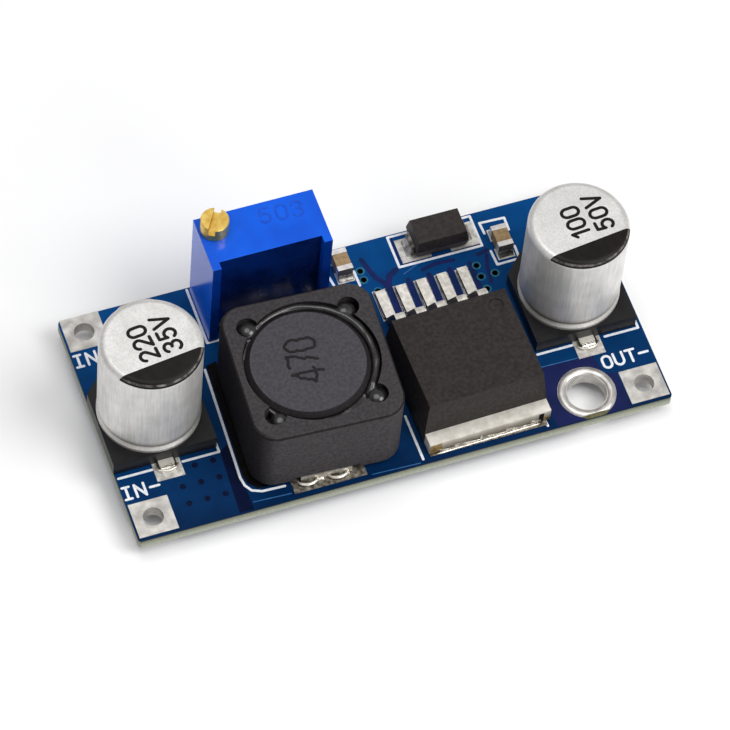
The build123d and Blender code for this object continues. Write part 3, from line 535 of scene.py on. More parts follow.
def mark_finishes():
    """Prints, ridges, residues and what shows through the mask."""
    return {
        "black_ink": ink_material(),
        # Lighter than the joints' solder: a painted highlight on real ridges.
        "bright": surface("solder_ridge", (0.60, 0.56, 0.49), (0.90, 0.86, 0.78), 0.26, 0.7,
                          patch=0.5, grain=0.3, depth=0.001),
        # Dark flux in the solder pools, and painted shadow in the crease behind the tab's bead.
        "flux_and_shadow": surface("flux_residue_and_painted_shadow", (0.012, 0.010, 0.005), (0.050, 0.040, 0.018), 0.3, patch=0.3,
                        grain=0.15, depth=0.004, specular=0.35),
        # Near-black for painted shadows: beside the inductor and in the notch of the tab.
        "painted_shadow": surface("painted_shadow_dark", (0.0022, 0.0016, 0.0022), (0.006, 0.005, 0.006), 0.5, patch=0.5,
                        grain=0.2, depth=0.003, specular=0.05),
        "burnt": surface("laser_mark", (0.014, 0.013, 0.014), (0.022, 0.020, 0.021), 0.7,
                         patch=0.2, grain=0.1, depth=0.006, specular=0.1),
        "shell_marks": surface("trimmer_marks", (0.0, 0.060, 0.47), (0.0, 0.085, 0.60), 0.35,
                               patch=0.5, grain=0.3, depth=0.004, specular=0.3),
        "via_ring": surface("via_ring_mask", (0.004, 0.10, 0.22), (0.02, 0.19, 0.27), 0.35,
                            patch=0.3, grain=0.2, depth=0.003, specular=0.2),
        "gap": surface("mask_over_laminate", (0.005, 0.019, 0.078), (0.014, 0.018, 0.108), 0.4,
                       patch=0.8, grain=0.3, depth=0.003, specular=0.06),
        # Mask over laminate, darker again near the front: painted shade.
        "band": surface("mask_over_laminate_in_painted_shade", (0.001, 0.005, 0.024), (0.003, 0.006, 0.036), 0.4,
                        patch=0.8, grain=0.3, depth=0.003, specular=0.04),
        "navy": surface("mask_deep", (0.003, 0.010, 0.055), (0.008, 0.012, 0.080), 0.4, patch=2.5,
                        grain=0.3, depth=0.003, specular=0.1),
        "trace": surface("mask_trace_edge", (0.02, 0.10, 0.27), (0.04, 0.14, 0.34), 0.4, patch=0.5,
                         grain=0.3, depth=0.003, specular=0.15),
        "tent": surface("mask_over_via", (0.001, 0.004, 0.018), (0.003, 0.010, 0.044), 0.4, patch=0.25,
                        grain=0.1, depth=0.01, specular=0.04),
        # Near-black walls: painted shade inside the vias.
        "hole": surface("via_wall", (0.004, 0.004, 0.005), (0.010, 0.010, 0.012), 0.6, patch=0.2,
                        grain=0.1, depth=0.003, specular=0.1),
        "bare": surface("bare_laminate", (0.085, 0.080, 0.030), (0.15, 0.14, 0.065), 0.6, patch=0.3,
                        grain=0.12, depth=0.01, specular=0.2),
        "copper": surface("bare_copper", (0.20, 0.12, 0.035), (0.42, 0.29, 0.10), 0.4, 0.7, patch=0.3,
                          grain=0.15, depth=0.008),
        "ink": surface("legend_ink", (0.72, 0.75, 0.80), (0.86, 0.88, 0.92), 0.6, patch=0.3,
                       grain=0.1, depth=0.004, specular=0.2),
        "floor": surface("studio_floor", (0.93, 0.93, 0.93), (0.96, 0.96, 0.96), 0.8, patch=60.0,
                         grain=20.0),
    }


def finishes():
    """Every material of the scene by name."""
    return {**board_finishes(), **trimmer_finishes(), **coil_finishes(), **package_finishes(),
            **mark_finishes()}


# Material of each CAD node
NODE_FINISH = {
    "circuit_board": "mask",
    "mounting_hole_lands": "tin",
    "terminal_lands": "tin",
    "pin_lands": "tin",
    "surface_pads": "pad",
    "trimmer_housing": "shell",
    "trimmer_screw": "brass",
    "trimmer_o_ring": "rubber",
    "trimmer_worm_wheel": "wheel",
    "trimmer_wiper": "contact",
    "trimmer_element": "element",
    "trimmer_pins": "pin",
    "trimmer_potting": "potting",
    "pin_solder": "solder",
    "inductor_shield": "ferrite",
    "inductor_base": "coil_base",
    "inductor_clips": "clip",
    "inductor_core": "core",
    "inductor_winding": "winding",
    "inductor_glue": "glue",
    "input_capacitor_base": "cap_base",
    "input_capacitor_can": "can",
    "input_capacitor_leads": "tab",
    "output_capacitor_base": "cap_base",
    "output_capacitor_can": "can",
    "output_capacitor_leads": "tab",
    "power_ic_body": "package",
    "power_ic_tab": "plate",
    "power_ic_leads": "ic_lead",
    "diode_body": "diode",
    "diode_leads": "diode_lead",
    "input_chip_capacitor": "chip",
    "input_chip_ends": "chip_end",
    "output_chip_capacitor": "chip",
    "output_chip_ends": "chip_end",
    "feedback_resistor": "resistor",
    "feedback_resistor_ends": "chip_end",
    "solder_fillets": "solder",
}


# CAD nodes whose edges are rounded a little, in millimetres
EASED = {
    "power_ic_body": 0.06,
    "power_ic_tab": 0.06,
    "diode_body": 0.05,
    "trimmer_housing": 0.04,
    "input_capacitor_base": 0.06,
    "output_capacitor_base": 0.06,
    "inductor_shield": 0.06,
}


def dress_nodes(look):
    """Gives every CAD node its material and the moulded ones their rounded edges."""
    for name, finish in NODE_FINISH.items():
        paint(name, look[finish])
    for name, width in EASED.items():
        ease_edges(name, width)


# Meshes

def add_object(name, content):
    """Puts a mesh, a lamp or a camera into the scene."""
    thing = bpy.data.objects.new(name, content)
    bpy.context.scene.collection.objects.link(thing)
    return thing


def mesh_object(name, data, material):
    """Object of a bmesh, with its material."""
    mesh = bpy.data.meshes.new(name)
    data.to_mesh(mesh)
    data.free()
    mesh.materials.append(material)
    return add_object(name, mesh)


def settle(name, data, material):
    """Makes the object of a bmesh ride on the module."""
    piece = mesh_object(name, data, material)
    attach(piece, BODY)
    return piece


def prism(data, outline, low, high):
    """Upright prism on a plan outline of (x, y) in metres, counter-clockwise."""
    bottom = [data.verts.new((x, y, low)) for x, y in outline]
    top = [data.verts.new((x, y, high)) for x, y in outline]
    count = len(outline)
    data.faces.new(top)
    data.faces.new(list(reversed(bottom)))
    for step in range(count):
        after = (step + 1) % count
        data.faces.new((bottom[step], bottom[after], top[after], top[step]))


def circle(steps):
    """Cosine and sine of even steps round a circle."""
    angles = [2 * math.pi * step / steps for step in range(steps)]
    return [(math.cos(angle), math.sin(angle)) for angle in angles]


def loft(data, rows, closed=False, flipped=False):
    """Faces between rows of vertices that each close on themselves; closed joins last to first."""
    for first, second in zip(rows, rows[1:] + rows[:1] if closed else rows[1:]):
        for step in range(len(first)):
            after = (step + 1) % len(first)
            if flipped:
                data.faces.new((first[step], first[after], second[after], second[step]))
            else:
                data.faces.new((first[step], second[step], second[after], first[after]))


def wall_row(data, inner, outer, low, high):
    """Row of four vertices round the section of a wall between two plan points."""
    return [data.verts.new((spot.x, spot.y, height)) for spot, height in
            ((inner, low), (outer, low), (outer, high), (inner, high))]


def ribbon_outline(points, width, end_steps=5):
    """Outline of a stroke of even width with round ends, along points in order."""
    half = width / 2
    line = [Vector(point) for point in points]
    turns = []
    for step, point in enumerate(line):
        before = line[step] - line[step - 1] if step else line[1] - line[0]
        after = line[step + 1] - line[step] if step + 1 < len(line) else before
        along = (before.normalized() + after.normalized()).normalized()
        sideways = Vector((-along.y, along.x))
        lean = max(0.5, sideways.dot(Vector((-before.normalized().y, before.normalized().x))))
        turns.append((point, sideways * (half / lean)))
    first = (line[1] - line[0]).normalized()
    last = (line[-1] - line[-2]).normalized()

    def cap(centre, start):
        base = math.atan2(start.y, start.x)
        angles = [base - math.pi * step / end_steps for step in range(end_steps - 1, 0, -1)]
        return [centre + Vector((math.cos(a), math.sin(a))) * half for a in angles]

    right = [point - offset for point, offset in turns]
    left = [point + offset for point, offset in reversed(turns)]
    far_end = cap(line[-1], Vector((-last.y, last.x)))
    near_end = cap(line[0], Vector((first.y, -first.x)))
    return [tuple(v) for v in right + far_end + left + near_end]


def hoop(data, points, width, low, high):
    """Stroke of even width along a closed line, given without its first point again at the end."""
    line = [Vector(point) for point in points]
    rows = []
    for step, point in enumerate(line):
        along = (line[(step + 1) % len(line)] - line[step - 1]).normalized()
        side = Vector((-along.y, along.x)) * (width / 2)
        rows.append(wall_row(data, point + side, point - side, low, high))
    loft(data, rows, closed=True)


def strokes(data, lines, width, low, high, step=0.0005 * MM):
    """Prints several strokes. Each stands a hair above the last, so that crossings don't fight."""
    for order, line in enumerate(lines):
        points = [(x * MM, y * MM) for x, y in line]
        top = high + order * step
        if len(line) > 3 and math.dist(line[0], line[-1]) < 0.001:
            hoop(data, points[:-1], width * MM, low, top)
        else:
            prism(data, ribbon_outline(points, width * MM), low, top)


def arc(cx, cy, rx, ry, start, end, steps=10):
    """Points on an ellipse, angles in degrees."""
    angles = [math.radians(start + (end - start) * step / steps) for step in range(steps + 1)]
    return [(cx + rx * math.cos(angle), cy + ry * math.sin(angle)) for angle in angles]


# Stroke letters on a cell one unit high; each has its width and its strokes
GLYPHS = {
    "I": (0.5, [[(0.0, 0.0), (0.5, 0.0)], [(0.0, 1.0), (0.5, 1.0)], [(0.25, 0.0), (0.25, 1.0)]]),
    "N": (0.68, [[(0.0, 0.0), (0.0, 1.0)], [(0.0, 1.0), (0.68, 0.0)], [(0.68, 0.0), (0.68, 1.0)]]),
    "O": (0.64, [arc(0.32, 0.68, 0.32, 0.32, 0, 180) + arc(0.32, 0.32, 0.32, 0.32, 180, 360)
                 + [(0.64, 0.68)]]),
    "U": (0.66, [[(0.0, 1.0)] + arc(0.33, 0.33, 0.33, 0.33, 180, 360) + [(0.66, 1.0)]]),
    "T": (0.66, [[(0.0, 1.0), (0.66, 1.0)], [(0.33, 1.0), (0.33, 0.0)]]),
    "V": (0.66, [[(0.0, 1.0), (0.33, 0.0)], [(0.33, 0.0), (0.66, 1.0)]]),
    "-": (0.68, [[(0.0, 0.5), (0.68, 0.5)]]),
    "+": (0.68, [[(0.0, 0.5), (0.68, 0.5)], [(0.34, 0.16), (0.34, 0.84)]]),
    "0": (0.56, [arc(0.28, 0.7, 0.28, 0.3, 0, 180) + arc(0.28, 0.3, 0.28, 0.3, 180, 360)
                 + [(0.56, 0.7)]]),
    "1": (0.3, [[(0.0, 0.78), (0.24, 1.0)], [(0.24, 1.0), (0.24, 0.0)]]),
    "2": (0.56, [arc(0.28, 0.72, 0.28, 0.28, 170, -30, 12) + [(0.02, 0.02)],
                 [(0.0, 0.0), (0.56, 0.0)]]),
    "3": (0.56, [arc(0.26, 0.755, 0.27, 0.245, 160, -80, 12),
                 arc(0.26, 0.27, 0.29, 0.27, 90, -160, 12)]),
    "4": (0.6, [[(0.44, 1.0), (0.0, 0.32)], [(0.0, 0.28), (0.6, 0.28)], [(0.44, 1.0), (0.44, 0.0)]]),
    "5": (0.56, [[(0.08, 1.0), (0.52, 1.0)], [(0.08, 1.0), (0.04, 0.52)],
                 [(0.04, 0.54)] + arc(0.26, 0.32, 0.29, 0.32, 110, -150, 14)]),
    "7": (0.56, [[(0.0, 1.0), (0.56, 1.0)], [(0.56, 1.0), (0.18, 0.0)]]),
}


def lettering(text, x, y, height, width, gap, turn=0.0):
    """Strokes of a line of text whose first cell starts at x, y, in millimetres, turned in degrees."""
    lines = []
    pen = 0.0
    cos, sin = math.cos(math.radians(turn)), math.sin(math.radians(turn))
    for letter in text:
        cell, marks = GLYPHS[letter]
        for mark in marks:
            local = [((pen + u * width) * height, v * height) for u, v in mark]
            lines.append([(x + u * cos - v * sin, y + u * sin + v * cos) for u, v in local])
        pen += (cell + gap) * width
    return lines


def sides(*points):
    """A line with square corners, as one stroke for each of its sides."""
    return [[first, last] for first, last in zip(points, points[1:])]


def make_legend(look):
    """White print on the board: outlines of the pieces and plain terminal labels."""
    outlines = [
        *sides((-11.1, 9.9), (-11.1, 4.83), (-2.0, 4.83)),
        [(1.82, 7.69), (1.86, 6.32)],
        [(-0.19, 7.69), (-0.07, 6.90)],
        [(-12.03, 2.58), (-12.50, -7.31), (-12.38, -8.05), (-12.02, -8.6), (-11.3, -8.9), (-9.5, -8.98)],
        [(1.24, -5.9), (1.28, -9.9)],
        [(11.32, -9.37), (11.39, -9.94)],
        [(-21.3, -4.65), (-18.6, -4.65)],
        *sides((-16.2, -4.65), (-13.3, -4.65), (-13.3, -3.68)),
        [(-21.1, 2.97), (-20.5, 3.5)],
        [(12.85, -3.7), (15.9, -3.7)],
        *sides((18.4, -3.7), (21.17, -3.7), (21.17, -2.4)),
        *sides((5.35, 7.0), (12.2, 7.0), (12.2, 9.87), (5.35, 9.87), (5.35, 7.0)),
        *sides((12.76, 8.0), (12.70, 9.02), (14.74, 8.94), (14.71, 7.78)),
        *sides((12.67, 6.31), (12.74, 4.98), (14.58, 5.02), (14.62, 6.22)),
    ]
    data = bmesh.new()
    strokes(data, outlines, 0.2, BOARD_TOP, BOARD_TOP + 0.015 * MM)
    labels = lettering("IN-", -21.32, -6.58, 1.05, 1.0, 0.4)
    labels += lettering("IN+", -21.26, 5.65, 1.05, 1.0, 0.4)
    labels += lettering("OUT-", 17.42, -6.44, 1.05, 1.0, 0.29)
    labels += lettering("OUT+", 18.6, 5.95, 0.8, 1.0, 0.26)
    strokes(data, labels, 0.2, BOARD_TOP, BOARD_TOP + 0.018 * MM)
    settle("board_legend", data, look["ink"])


def tube(data, points, radii, corners=10):
    """Round tube through points, with its own radius at each, closed at both ends."""
    rings = []
    count = len(points)
    for step, point in enumerate(points):
        along = points[min(step + 1, count - 1)] - points[max(step - 1, 0)]
        sideways = along.cross(Vector((0.0, 0.0, 1.0))).normalized()
        rise = sideways.cross(along).normalized()
        rings.append([data.verts.new(point + (sideways * cos + rise * sin) * radii[step])
                      for cos, sin in circle(corners)])
    loft(data, rings, flipped=True)
    data.faces.new(list(reversed(rings[0])))
    data.faces.new(rings[-1])


def sleeve(data, x, y, inner, outer, low, high, steps=48):
    """Upright ring between two radii, all in metres."""
    rows = []
    for radius, height in ((inner, low), (outer, low), (outer, high), (inner, high)):
        rows.append([data.verts.new((x + radius * cos, y + radius * sin, height))
                     for cos, sin in circle(steps)])
    loft(data, rows, closed=True, flipped=True)


def soften(piece, voxel, passes):
    """Melts a piece's overlapping forms into one skin; voxel in millimetres."""
    melt = piece.modifiers.new("melt", "REMESH")
    melt.mode = "VOXEL"
    melt.voxel_size = voxel * MM
    melt.use_smooth_shade = True
    ease = piece.modifiers.new("ease", "SMOOTH")
    ease.iterations = passes
    ease.factor = 0.5


def make_tab_ends(look):
    """Bare copper at the tab's front corners, and painted shadow in the notch beside one of them."""
    face_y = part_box("power_ic_tab")[0].y / MM
    outside, inside = 0.012, 0.05
    for order, (finish, x, width, bottom, top) in enumerate(TAB_ENDS):
        start = face_y + (x - TAB_LEFT) * TAB_SKEW
        end = start + width * TAB_SKEW
        points = [(x, start - outside), (x + width, end - outside),
                  (x + width, end + inside), (x, start + inside)]
        data = bmesh.new()
        prism(data, [(px * MM, py * MM) for px, py in points], bottom * MM, top * MM)
        settle("tab_end_%d" % order, data, look[finish])


def make_can_print(look, side, chord, lines):
    """Black segment and value lines on a can's top. The segment follows the rounded rim."""
    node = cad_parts[side + "_capacitor_can"]
    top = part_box(node.name)[1].z
    data = bmesh.new()
    data.from_mesh(node.data)
    start, end = (Vector((x * MM, y * MM, top)) for x, y in chord)
    along = end - start
    outside = Vector((-along.y, along.x, 0.0)).normalized()
    for place, away in ((start, outside), ((0, 0, top - INK_RIM * MM), (0, 0, -1))):
        bmesh.ops.bisect_plane(data, geom=data.verts[:] + data.edges[:] + data.faces[:],
                               plane_co=place, plane_no=away, clear_outer=True)
    data.normal_update()
    inner = [face for face in data.faces if face.normal.z < 0.05]
    bmesh.ops.delete(data, geom=inner, context="FACES")
    bmesh.ops.remove_doubles(data, verts=data.verts[:], dist=0.001 * MM)
    data.normal_update()
    for vert in data.verts:
        vert.co += vert.normal * INK_T * MM
    for words, place, turn in lines:
        marks = lettering(words, *place, PRINT_HEIGHT, 1.0, 0.26, turn)
        strokes(data, marks, CAN_STROKE, top + 0.001 * MM, top + INK_T * MM)
    settle(side + "_can_print", data, look["black_ink"])


def wavy(lines, amount, pitch=0.16):
    """Strokes cut into short steps that wander a little, as a shaky marking laser leaves them."""
    shaken = []
    for line in lines:
        points = []
        for first, last in zip(line, line[1:]):
            steps = max(1, round(math.dist(first, last) / pitch))
            for step in range(steps):
                points.append([a + (b - a) * step / steps for a, b in zip(first, last)])
        points.append(list(line[-1]))
        shaken.append([(x + amount * noise.noise(Vector((x * 3.1, y * 3.1, 0.5))),
                        y + amount * noise.noise(Vector((x * 3.1, y * 3.1, 7.5)))) for x, y in points])
    return shaken


def place_letters(letters, height, turn):
    """Strokes of letters that each have a place and a width of their own."""
    return [line for letter, x, y, width in letters
            for line in lettering(letter, x, y, height, width, 0.0, turn)]


def make_coil_marks(look):
    """Value burnt into the inductor's core."""
    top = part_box("inductor_core")[1].z
    marks = wavy(place_letters(COIL_MARKS, 2.35, 87.0), 0.16)
    data = bmesh.new()
    strokes(data, marks, 0.24, top + 0.001 * MM, top + 0.008 * MM)
    settle("coil_marks", data, look["burnt"])


def make_trimmer_marks(look):
    """Value moulded on the trimmer's top."""
    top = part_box("trimmer_housing")[1].z
    marks = place_letters(TRIMMER_MARKS, 1.3, -2.5)
    data = bmesh.new()
    strokes(data, marks, 0.17, top - 0.01 * MM, top + 0.025 * MM)
    settle("trimmer_marks", data, look["shell_marks"])


def glue_rope(data, bore, bore_r, core, core_r, top):
    """Rope of glue in the groove between the shield's bore and the core, sunk at both ends."""
    path, radii = [], []
    steps, sunk_steps = 220, 12
    for step in range(steps + 1):
        angle = math.radians(GLUE_START + (GLUE_END - GLUE_START) * step / steps)
        ray = Vector((math.cos(angle), math.sin(angle), 0.0))
        middle = (bore + ray * bore_r + core + ray * core_r) / 2
        gap = (bore + ray * bore_r - core - ray * core_r).length
        wander = noise.noise(Vector((step * 0.07, 1.5, 0.0)))
        radius = min(0.34 * MM, gap * 0.55) * (1.0 + 0.25 * wander)
        fade = min(1.0, step / sunk_steps, (steps - step) / sunk_steps)
        height = top - 0.12 * MM - radius + (0.06 * wander - 0.35 * (1.0 - fade)) * MM
        path.append(middle + ray * wander * 0.05 * MM + Vector((0.0, 0.0, height)))
        radii.append(max(0.1 * MM, radius))
    tube(data, path, radii)


def glue_floor(data, bore, bore_r, core, core_r, bottom, top):
    """Glue that fills the groove to just under the rope."""
    overlap = 0.05 * MM
    rows = []
    for cos, sin in circle(120):
        ray = Vector((cos, sin, 0.0))
        lift = top - (0.62 + 0.1 * noise.noise(ray * 3.0)) * MM
        rows.append(wall_row(data, core + ray * (core_r - overlap), bore + ray * (bore_r + overlap),
                             bottom, lift))
    loft(data, rows, closed=True)


def glue_blobs(data, top):
    """Blob of glue in each of the shield's ears."""
    for x, y, radius, drop in GLUE_BLOBS:
        ball = bmesh.ops.create_icosphere(data, subdivisions=3, radius=radius * MM)
        for vert in ball["verts"]:
            lump = 1.0 + 0.12 * noise.noise(vert.co * 900.0 + Vector((x, y, 0.0)))
            vert.co = Vector((vert.co.x * lump, vert.co.y * lump, vert.co.z * 0.75))
            vert.co += Vector((x * MM, y * MM, top - (drop + radius * 0.75) * MM))


def make_glue(look):
    """Glue round the core: a rope of it on three sides, the fill under it and a blob in each ear."""
    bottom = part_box("inductor_glue")[0].z
    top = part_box("inductor_shield")[1].z
    core_low, core_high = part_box("inductor_core")
    bore = Vector((COIL_X * MM, COIL_Y * MM, 0.0))
    bore_r = COIL_BORE_D / 2 * MM
    core = Vector(((core_low.x + core_high.x) / 2, (core_low.y + core_high.y) / 2, 0.0))
    core_r = (core_high.x - core_low.x) / 2
    data = bmesh.new()
    glue_rope(data, bore, bore_r, core, core_r, top)
    glue_floor(data, bore, bore_r, core, core_r, bottom, top)
    glue_blobs(data, top)
    piece = settle("glue_bead", data, look["glue"])
    soften(piece, 0.07, 3)
    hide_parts("inductor_glue")


def half_ring(data, cx, cy, rx, ry, z, radius, start, end, steps=18):
    """Ridge of solder along part of an ellipse, thinner at its ends; millimetres and degrees."""
    points, radii = [], []
    for step, (x, y) in enumerate(arc(cx, cy, rx, ry, start, end, steps)):
        points.append(Vector((x, y, z)) * MM)
        radii.append(radius * MM * (0.45 + 0.55 * math.sin(math.pi * step / steps)))
    tube(data, points, radii, 8)


def make_solder(look):
    """The solder of every surface joint, melted from the CAD fillets."""
    data = bmesh.new()
    data.from_mesh(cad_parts["solder_fillets"].data)
    piece = settle("solder_joints", data, look["solder"])
    soften(piece, 0.055, 4)
    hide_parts("solder_fillets")


def pool(data, cx, cy, rx, ry, low, high):
    """Shallow dome on an ellipse; millimetres."""
    ball = bmesh.ops.create_icosphere(data, subdivisions=3, radius=1.0)
    for vert in ball["verts"]:
        x, y, z = vert.co
        lump = 1.0 + 0.08 * noise.noise(Vector((x * 2.0 + cx, y * 2.0, z)))
        height = low if z < 0 else low + (high - low) * z
        vert.co = Vector((cx + rx * x * lump, cy + ry * y * lump, height)) * MM


def pile_solder(ridges, flux_and_shadow):
    """Crescents at the inductor's front and round the capacitors' lead tips, with flux inside."""
    for cx, cy, rx, ry in COIL_CRESCENTS:
        half_ring(ridges, cx, cy - 0.06, rx, ry, 1.28, 0.14, 182, 362)
        pool(flux_and_shadow, cx, cy - 0.08, rx * 0.88, ry * 0.86, 1.1, 1.44)
    half = 0.68
    for x, y in CAN_LEAD_TIPS:
        half_ring(ridges, x, y - 0.02, 0.86, 0.42, 1.14, 0.13, 172, 368)
        edge = [(x - half, y + 0.4), (x - half, y - 0.1), (x + half, y - 0.1), (x + half, y + 0.4)]
        strokes(flux_and_shadow, [edge], 0.12, BOARD_TOP, 1.26 * MM)


def bead_tab(ridges, flux_and_shadow):
    """Uneven bead of solder along the tab's front, with a line of painted shadow behind it, in the
    crease at the tab's face.
    """
    steps = 40
    points = []
    for step in range(steps + 1):
        x = TAB_BEAD_START + TAB_BEAD_LEN * step / steps
        y = TAB_BEAD_Y + (x - TAB_LEFT) * TAB_SKEW + 0.02 * noise.noise(Vector((x * 2.2, 0.0, 0.0)))
        points.append(Vector((x, y, 1.09)) * MM)
    radii = [(0.075 + 0.03 * noise.noise(Vector((point.x * 1800, 4.0, 0.0)))) * MM for point in points]
    tube(ridges, points, radii, 8)
    # Painted shadow between the bead and the tab's face.
    line = [(point.x / MM, point.y / MM + 0.1) for point in points[::4]]
    strokes(flux_and_shadow, [line], 0.07, BOARD_TOP, 1.12 * MM)


def make_ridges(look):
    """Ridges of solder with a painted highlight, and dark flux and painted shadow beside them."""
    ridges = bmesh.new()
    flux_and_shadow = bmesh.new()
    pile_solder(ridges, flux_and_shadow)
    bead_tab(ridges, flux_and_shadow)
    for face in ridges.faces:
        face.smooth = True
    for face in flux_and_shadow.faces:
        face.smooth = len(face.verts) == 3
    settle("solder_ridges", ridges, look["bright"])
    settle("flux_stains_and_shadow", flux_and_shadow, look["flux_and_shadow"])


def make_clip_skin(look):
    """Solder over the front clip's face, up to the ferrite."""
    data = bmesh.new()
    line = [(-8.2, -9.03), (-7.0, -9.1), (-5.5, -9.17), (-4.3, -9.22)]
    strokes(data, [line], 0.16, 1.1 * MM, 1.74 * MM)
    # Lighter solder with a painted highlight.
    settle("clip_skin", data, look["bright"])


def make_vias(look):
    """Rings of the open vias, showing through the mask, and dark walls in all of them that paint the
    shade inside the holes.
    """
    rings = bmesh.new()
    for x, y in OPEN_VIAS:
        sleeve(rings, x * MM, y * MM, 0.25 * MM, 0.36 * MM, BOARD_TOP, BOARD_TOP + 0.01 * MM, 32)
    walls = bmesh.new()
    for x, y in OPEN_VIAS + BLOCK_VIAS:
        sleeve(walls, x * MM, y * MM, 0.19 * MM, 0.246 * MM, 0.0, BOARD_TOP + 0.005 * MM, 32)
    settle("via_rings", rings, look["via_ring"])
    settle("via_walls", walls, look["hole"])


def make_via_tents(look):
    """Mask that sags over the vias of the input's corner."""
    data = bmesh.new()
    for x, y in BLOCK_VIAS:
        points = [(px * MM, py * MM) for px, py in arc(x, y, 0.24, 0.24, 0, 345, 23)]
        prism(data, points, BOARD_TOP - 0.05 * MM, BOARD_TOP + 0.006 * MM)
    settle("via_tents", data, look["tent"])


def make_plating(look):
    """Tinned walls of the mounting and terminal holes."""
    data = bmesh.new()
    low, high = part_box("terminal_lands")
    for x, y, radius in MOUNT_HOLES + TERMINAL_HOLES:
        sleeve(data, x * MM, y * MM, (radius - 0.035) * MM, (radius - 0.004) * MM, low.z, high.z, 64)
    settle("hole_plating", data, look["tin"])


def make_ring_tin(look):
    """Rounded coat of tin on the rings of the mounting holes, flat where the lands end."""
    data = bmesh.new()
    low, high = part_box("mounting_hole_lands")
    rows_count = 9
    for x, y, radius in MOUNT_HOLES:
        rows = []
        for row in range(rows_count):
            share = row / (rows_count - 1)
            reach = radius + 0.02 + (RING_WIDTH - 0.04) * share
            height = BOARD_TOP + (0.03 + TIN_RISE * math.sin(math.pi * (0.04 + 0.92 * share))) * MM
            ring = []
            for cos, sin in circle(72):
                spot_y = min(max((y + reach * sin) * MM, low.y), high.y)
                ring.append(data.verts.new(((x + reach * cos) * MM, spot_y, height)))
            rows.append(ring)
        loft(data, rows)
    for face in data.faces:
        face.smooth = True
    piece = settle("ring_tin", data, look["ring_tin"])
    thick = piece.modifiers.new("thick", "SOLIDIFY")
    thick.thickness = 0.02 * MM


def make_mask_gaps(look):
    """Darker strips where no copper lies under the solder mask."""
    data = bmesh.new()
    for order, (width, lines) in enumerate(MASK_GAPS):
        strokes(data, lines, width, BOARD_TOP, BOARD_TOP + (0.004 + 0.0006 * order) * MM, 0.0001 * MM)
    settle("mask_gaps", data, look["gap"])
    # The band near the front is darker than the other gaps: painted shade.
    flat_patch("gap_band", GAP_BAND, 0.003, look["band"])


def flat_patch(name, points, height, material):
    """Thin patch on the board, from an outline and a height in millimetres."""
    data = bmesh.new()
    prism(data, [(x * MM, y * MM) for x, y in points], BOARD_TOP, BOARD_TOP + height * MM)
    settle(name, data, material)


def make_mask_patches(look):
    """Deep blue round the front mounting hole, painted highlight along the edges of tracks, laminate the
    mask missed, and a painted shadow beside the inductor.
    """
    x, y, radius = MOUNT_HOLES[0]
    front = NAVY_PATCH[0][1]
    reach = radius + NAVY_RIM
    ring = [(x + reach * math.cos(angle) - NAVY_SLIT / 2, y + reach * math.sin(angle))
            for angle in [math.radians(-90 - 10 * step) for step in range(37)]]
    outside = [(x + NAVY_SLIT, front)] + NAVY_PATCH[1:] + NAVY_PATCH[:1]
    flat_patch("mask_deep", [(x - NAVY_SLIT, front)] + ring + outside, 0.002, look["navy"])
    # Painted highlight along the edges of tracks.
    edges = bmesh.new()
    strokes(edges, TRACE_EDGES, 0.08, BOARD_TOP, BOARD_TOP + 0.011 * MM)
    settle("trace_edges", edges, look["trace"])
    flat_patch("bare_strip", BARE_STRIP, 0.009, look["bare"])
    # Painted shadow beside the inductor.
    flat_patch("coil_shadow", COIL_SHADOW, 0.0015, look["painted_shadow"])


def ease_edges(name, width):
    """Small rounding on a CAD node's sharp edges, as moulded or stamped parts have."""
    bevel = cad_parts[name].modifiers.new("edge", "BEVEL")
    bevel.width = width * MM
    bevel.segments = 2
    bevel.limit_method = "ANGLE"
    bevel.angle_limit = math.radians(35)
    bevel.harden_normals = False


# Studio

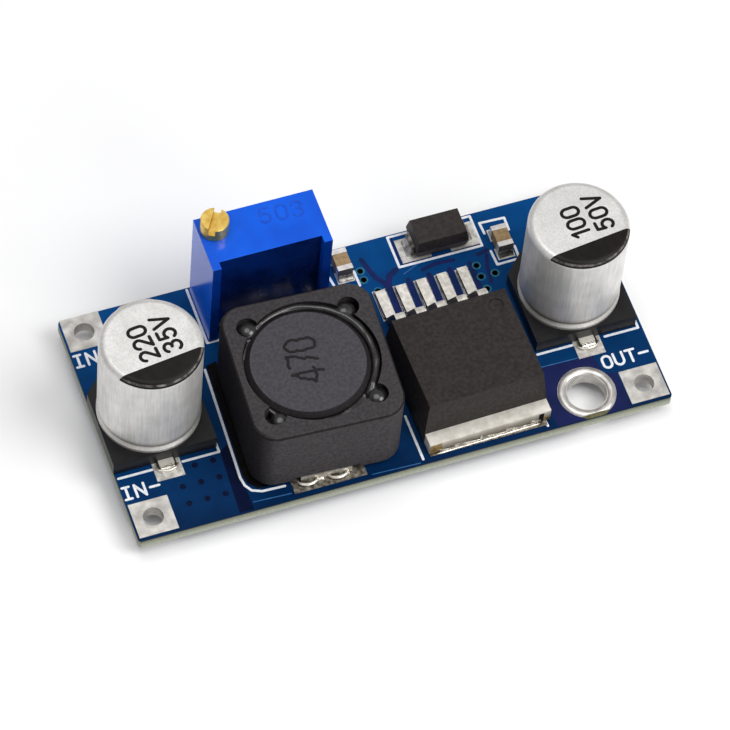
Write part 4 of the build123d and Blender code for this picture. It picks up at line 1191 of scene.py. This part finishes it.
def make_floor(look):
    """White floor under the module, which belongs to the studio alone."""
    data = bmesh.new()
    bmesh.ops.create_grid(data, x_segments=8, y_segments=8, size=1.5)
    floor = mesh_object("studio_floor", data, look["floor"])
    floor.location.z = cad_low.z


def area_light(name, place, size, power):
    """Soft lamp at a place in metres, turned to the module."""
    lamp = bpy.data.lights.new(name, "AREA")
    lamp.shape = "DISK"
    lamp.size = size
    lamp.energy = power
    holder = add_object(name, lamp)
    holder.location = place
    holder.rotation_euler = (-Vector(place)).to_track_quat("-Z", "Y").to_euler()


def make_lights():
    """White sky and the lamps."""
    world = bpy.data.worlds.new("studio")
    world.use_nodes = True
    sky = world.node_tree.nodes["Background"]
    sky.inputs["Color"].default_value = (1.0, 1.0, 1.0, 1.0)
    sky.inputs["Strength"].default_value = SKY_STRENGTH
    bpy.context.scene.world = world
    for name, (place, size, power) in LAMPS.items():
        area_light(name, place, size, power)


def make_camera():
    """The photograph's camera."""
    angle, tilt, roll = (math.radians(value) for value in (AZIMUTH, ELEVATION, ROLL))
    back = Vector((math.sin(angle) * math.cos(tilt), -math.cos(angle) * math.cos(tilt), math.sin(tilt)))
    level = Vector((math.cos(angle), math.sin(angle), 0.0))
    upright = back.cross(level)
    right = level * math.cos(roll) + upright * math.sin(roll)
    up = back.cross(right)
    place = Vector(AIM) * MM + back * DISTANCE * MM
    camera = bpy.data.cameras.new("photo_camera")
    camera.lens = LENS
    camera.sensor_width = SENSOR
    camera.clip_start = 0.01
    camera.clip_end = 10.0
    holder = add_object("photo_camera", camera)
    holder.matrix_world = Matrix.Translation(place) @ Matrix((right, up, back)).transposed().to_4x4()
    bpy.context.scene.camera = holder


def main():
    """Dresses the frame, adds the details, the studio and the camera."""
    look = finishes()
    dress_nodes(look)
    for make in (make_mask_gaps, make_mask_patches, make_tab_ends, make_legend, make_vias,
                 make_via_tents, make_plating, make_ring_tin, make_solder, make_ridges,
                 make_clip_skin, make_glue, make_coil_marks, make_trimmer_marks):
        make(look)
    for side, (chord, lines) in CAN_PRINTS.items():
        make_can_print(look, side, chord, lines)
    make_floor(look)
    make_lights()
    make_camera()
    bpy.context.scene.view_settings.view_transform = "Standard"


main()
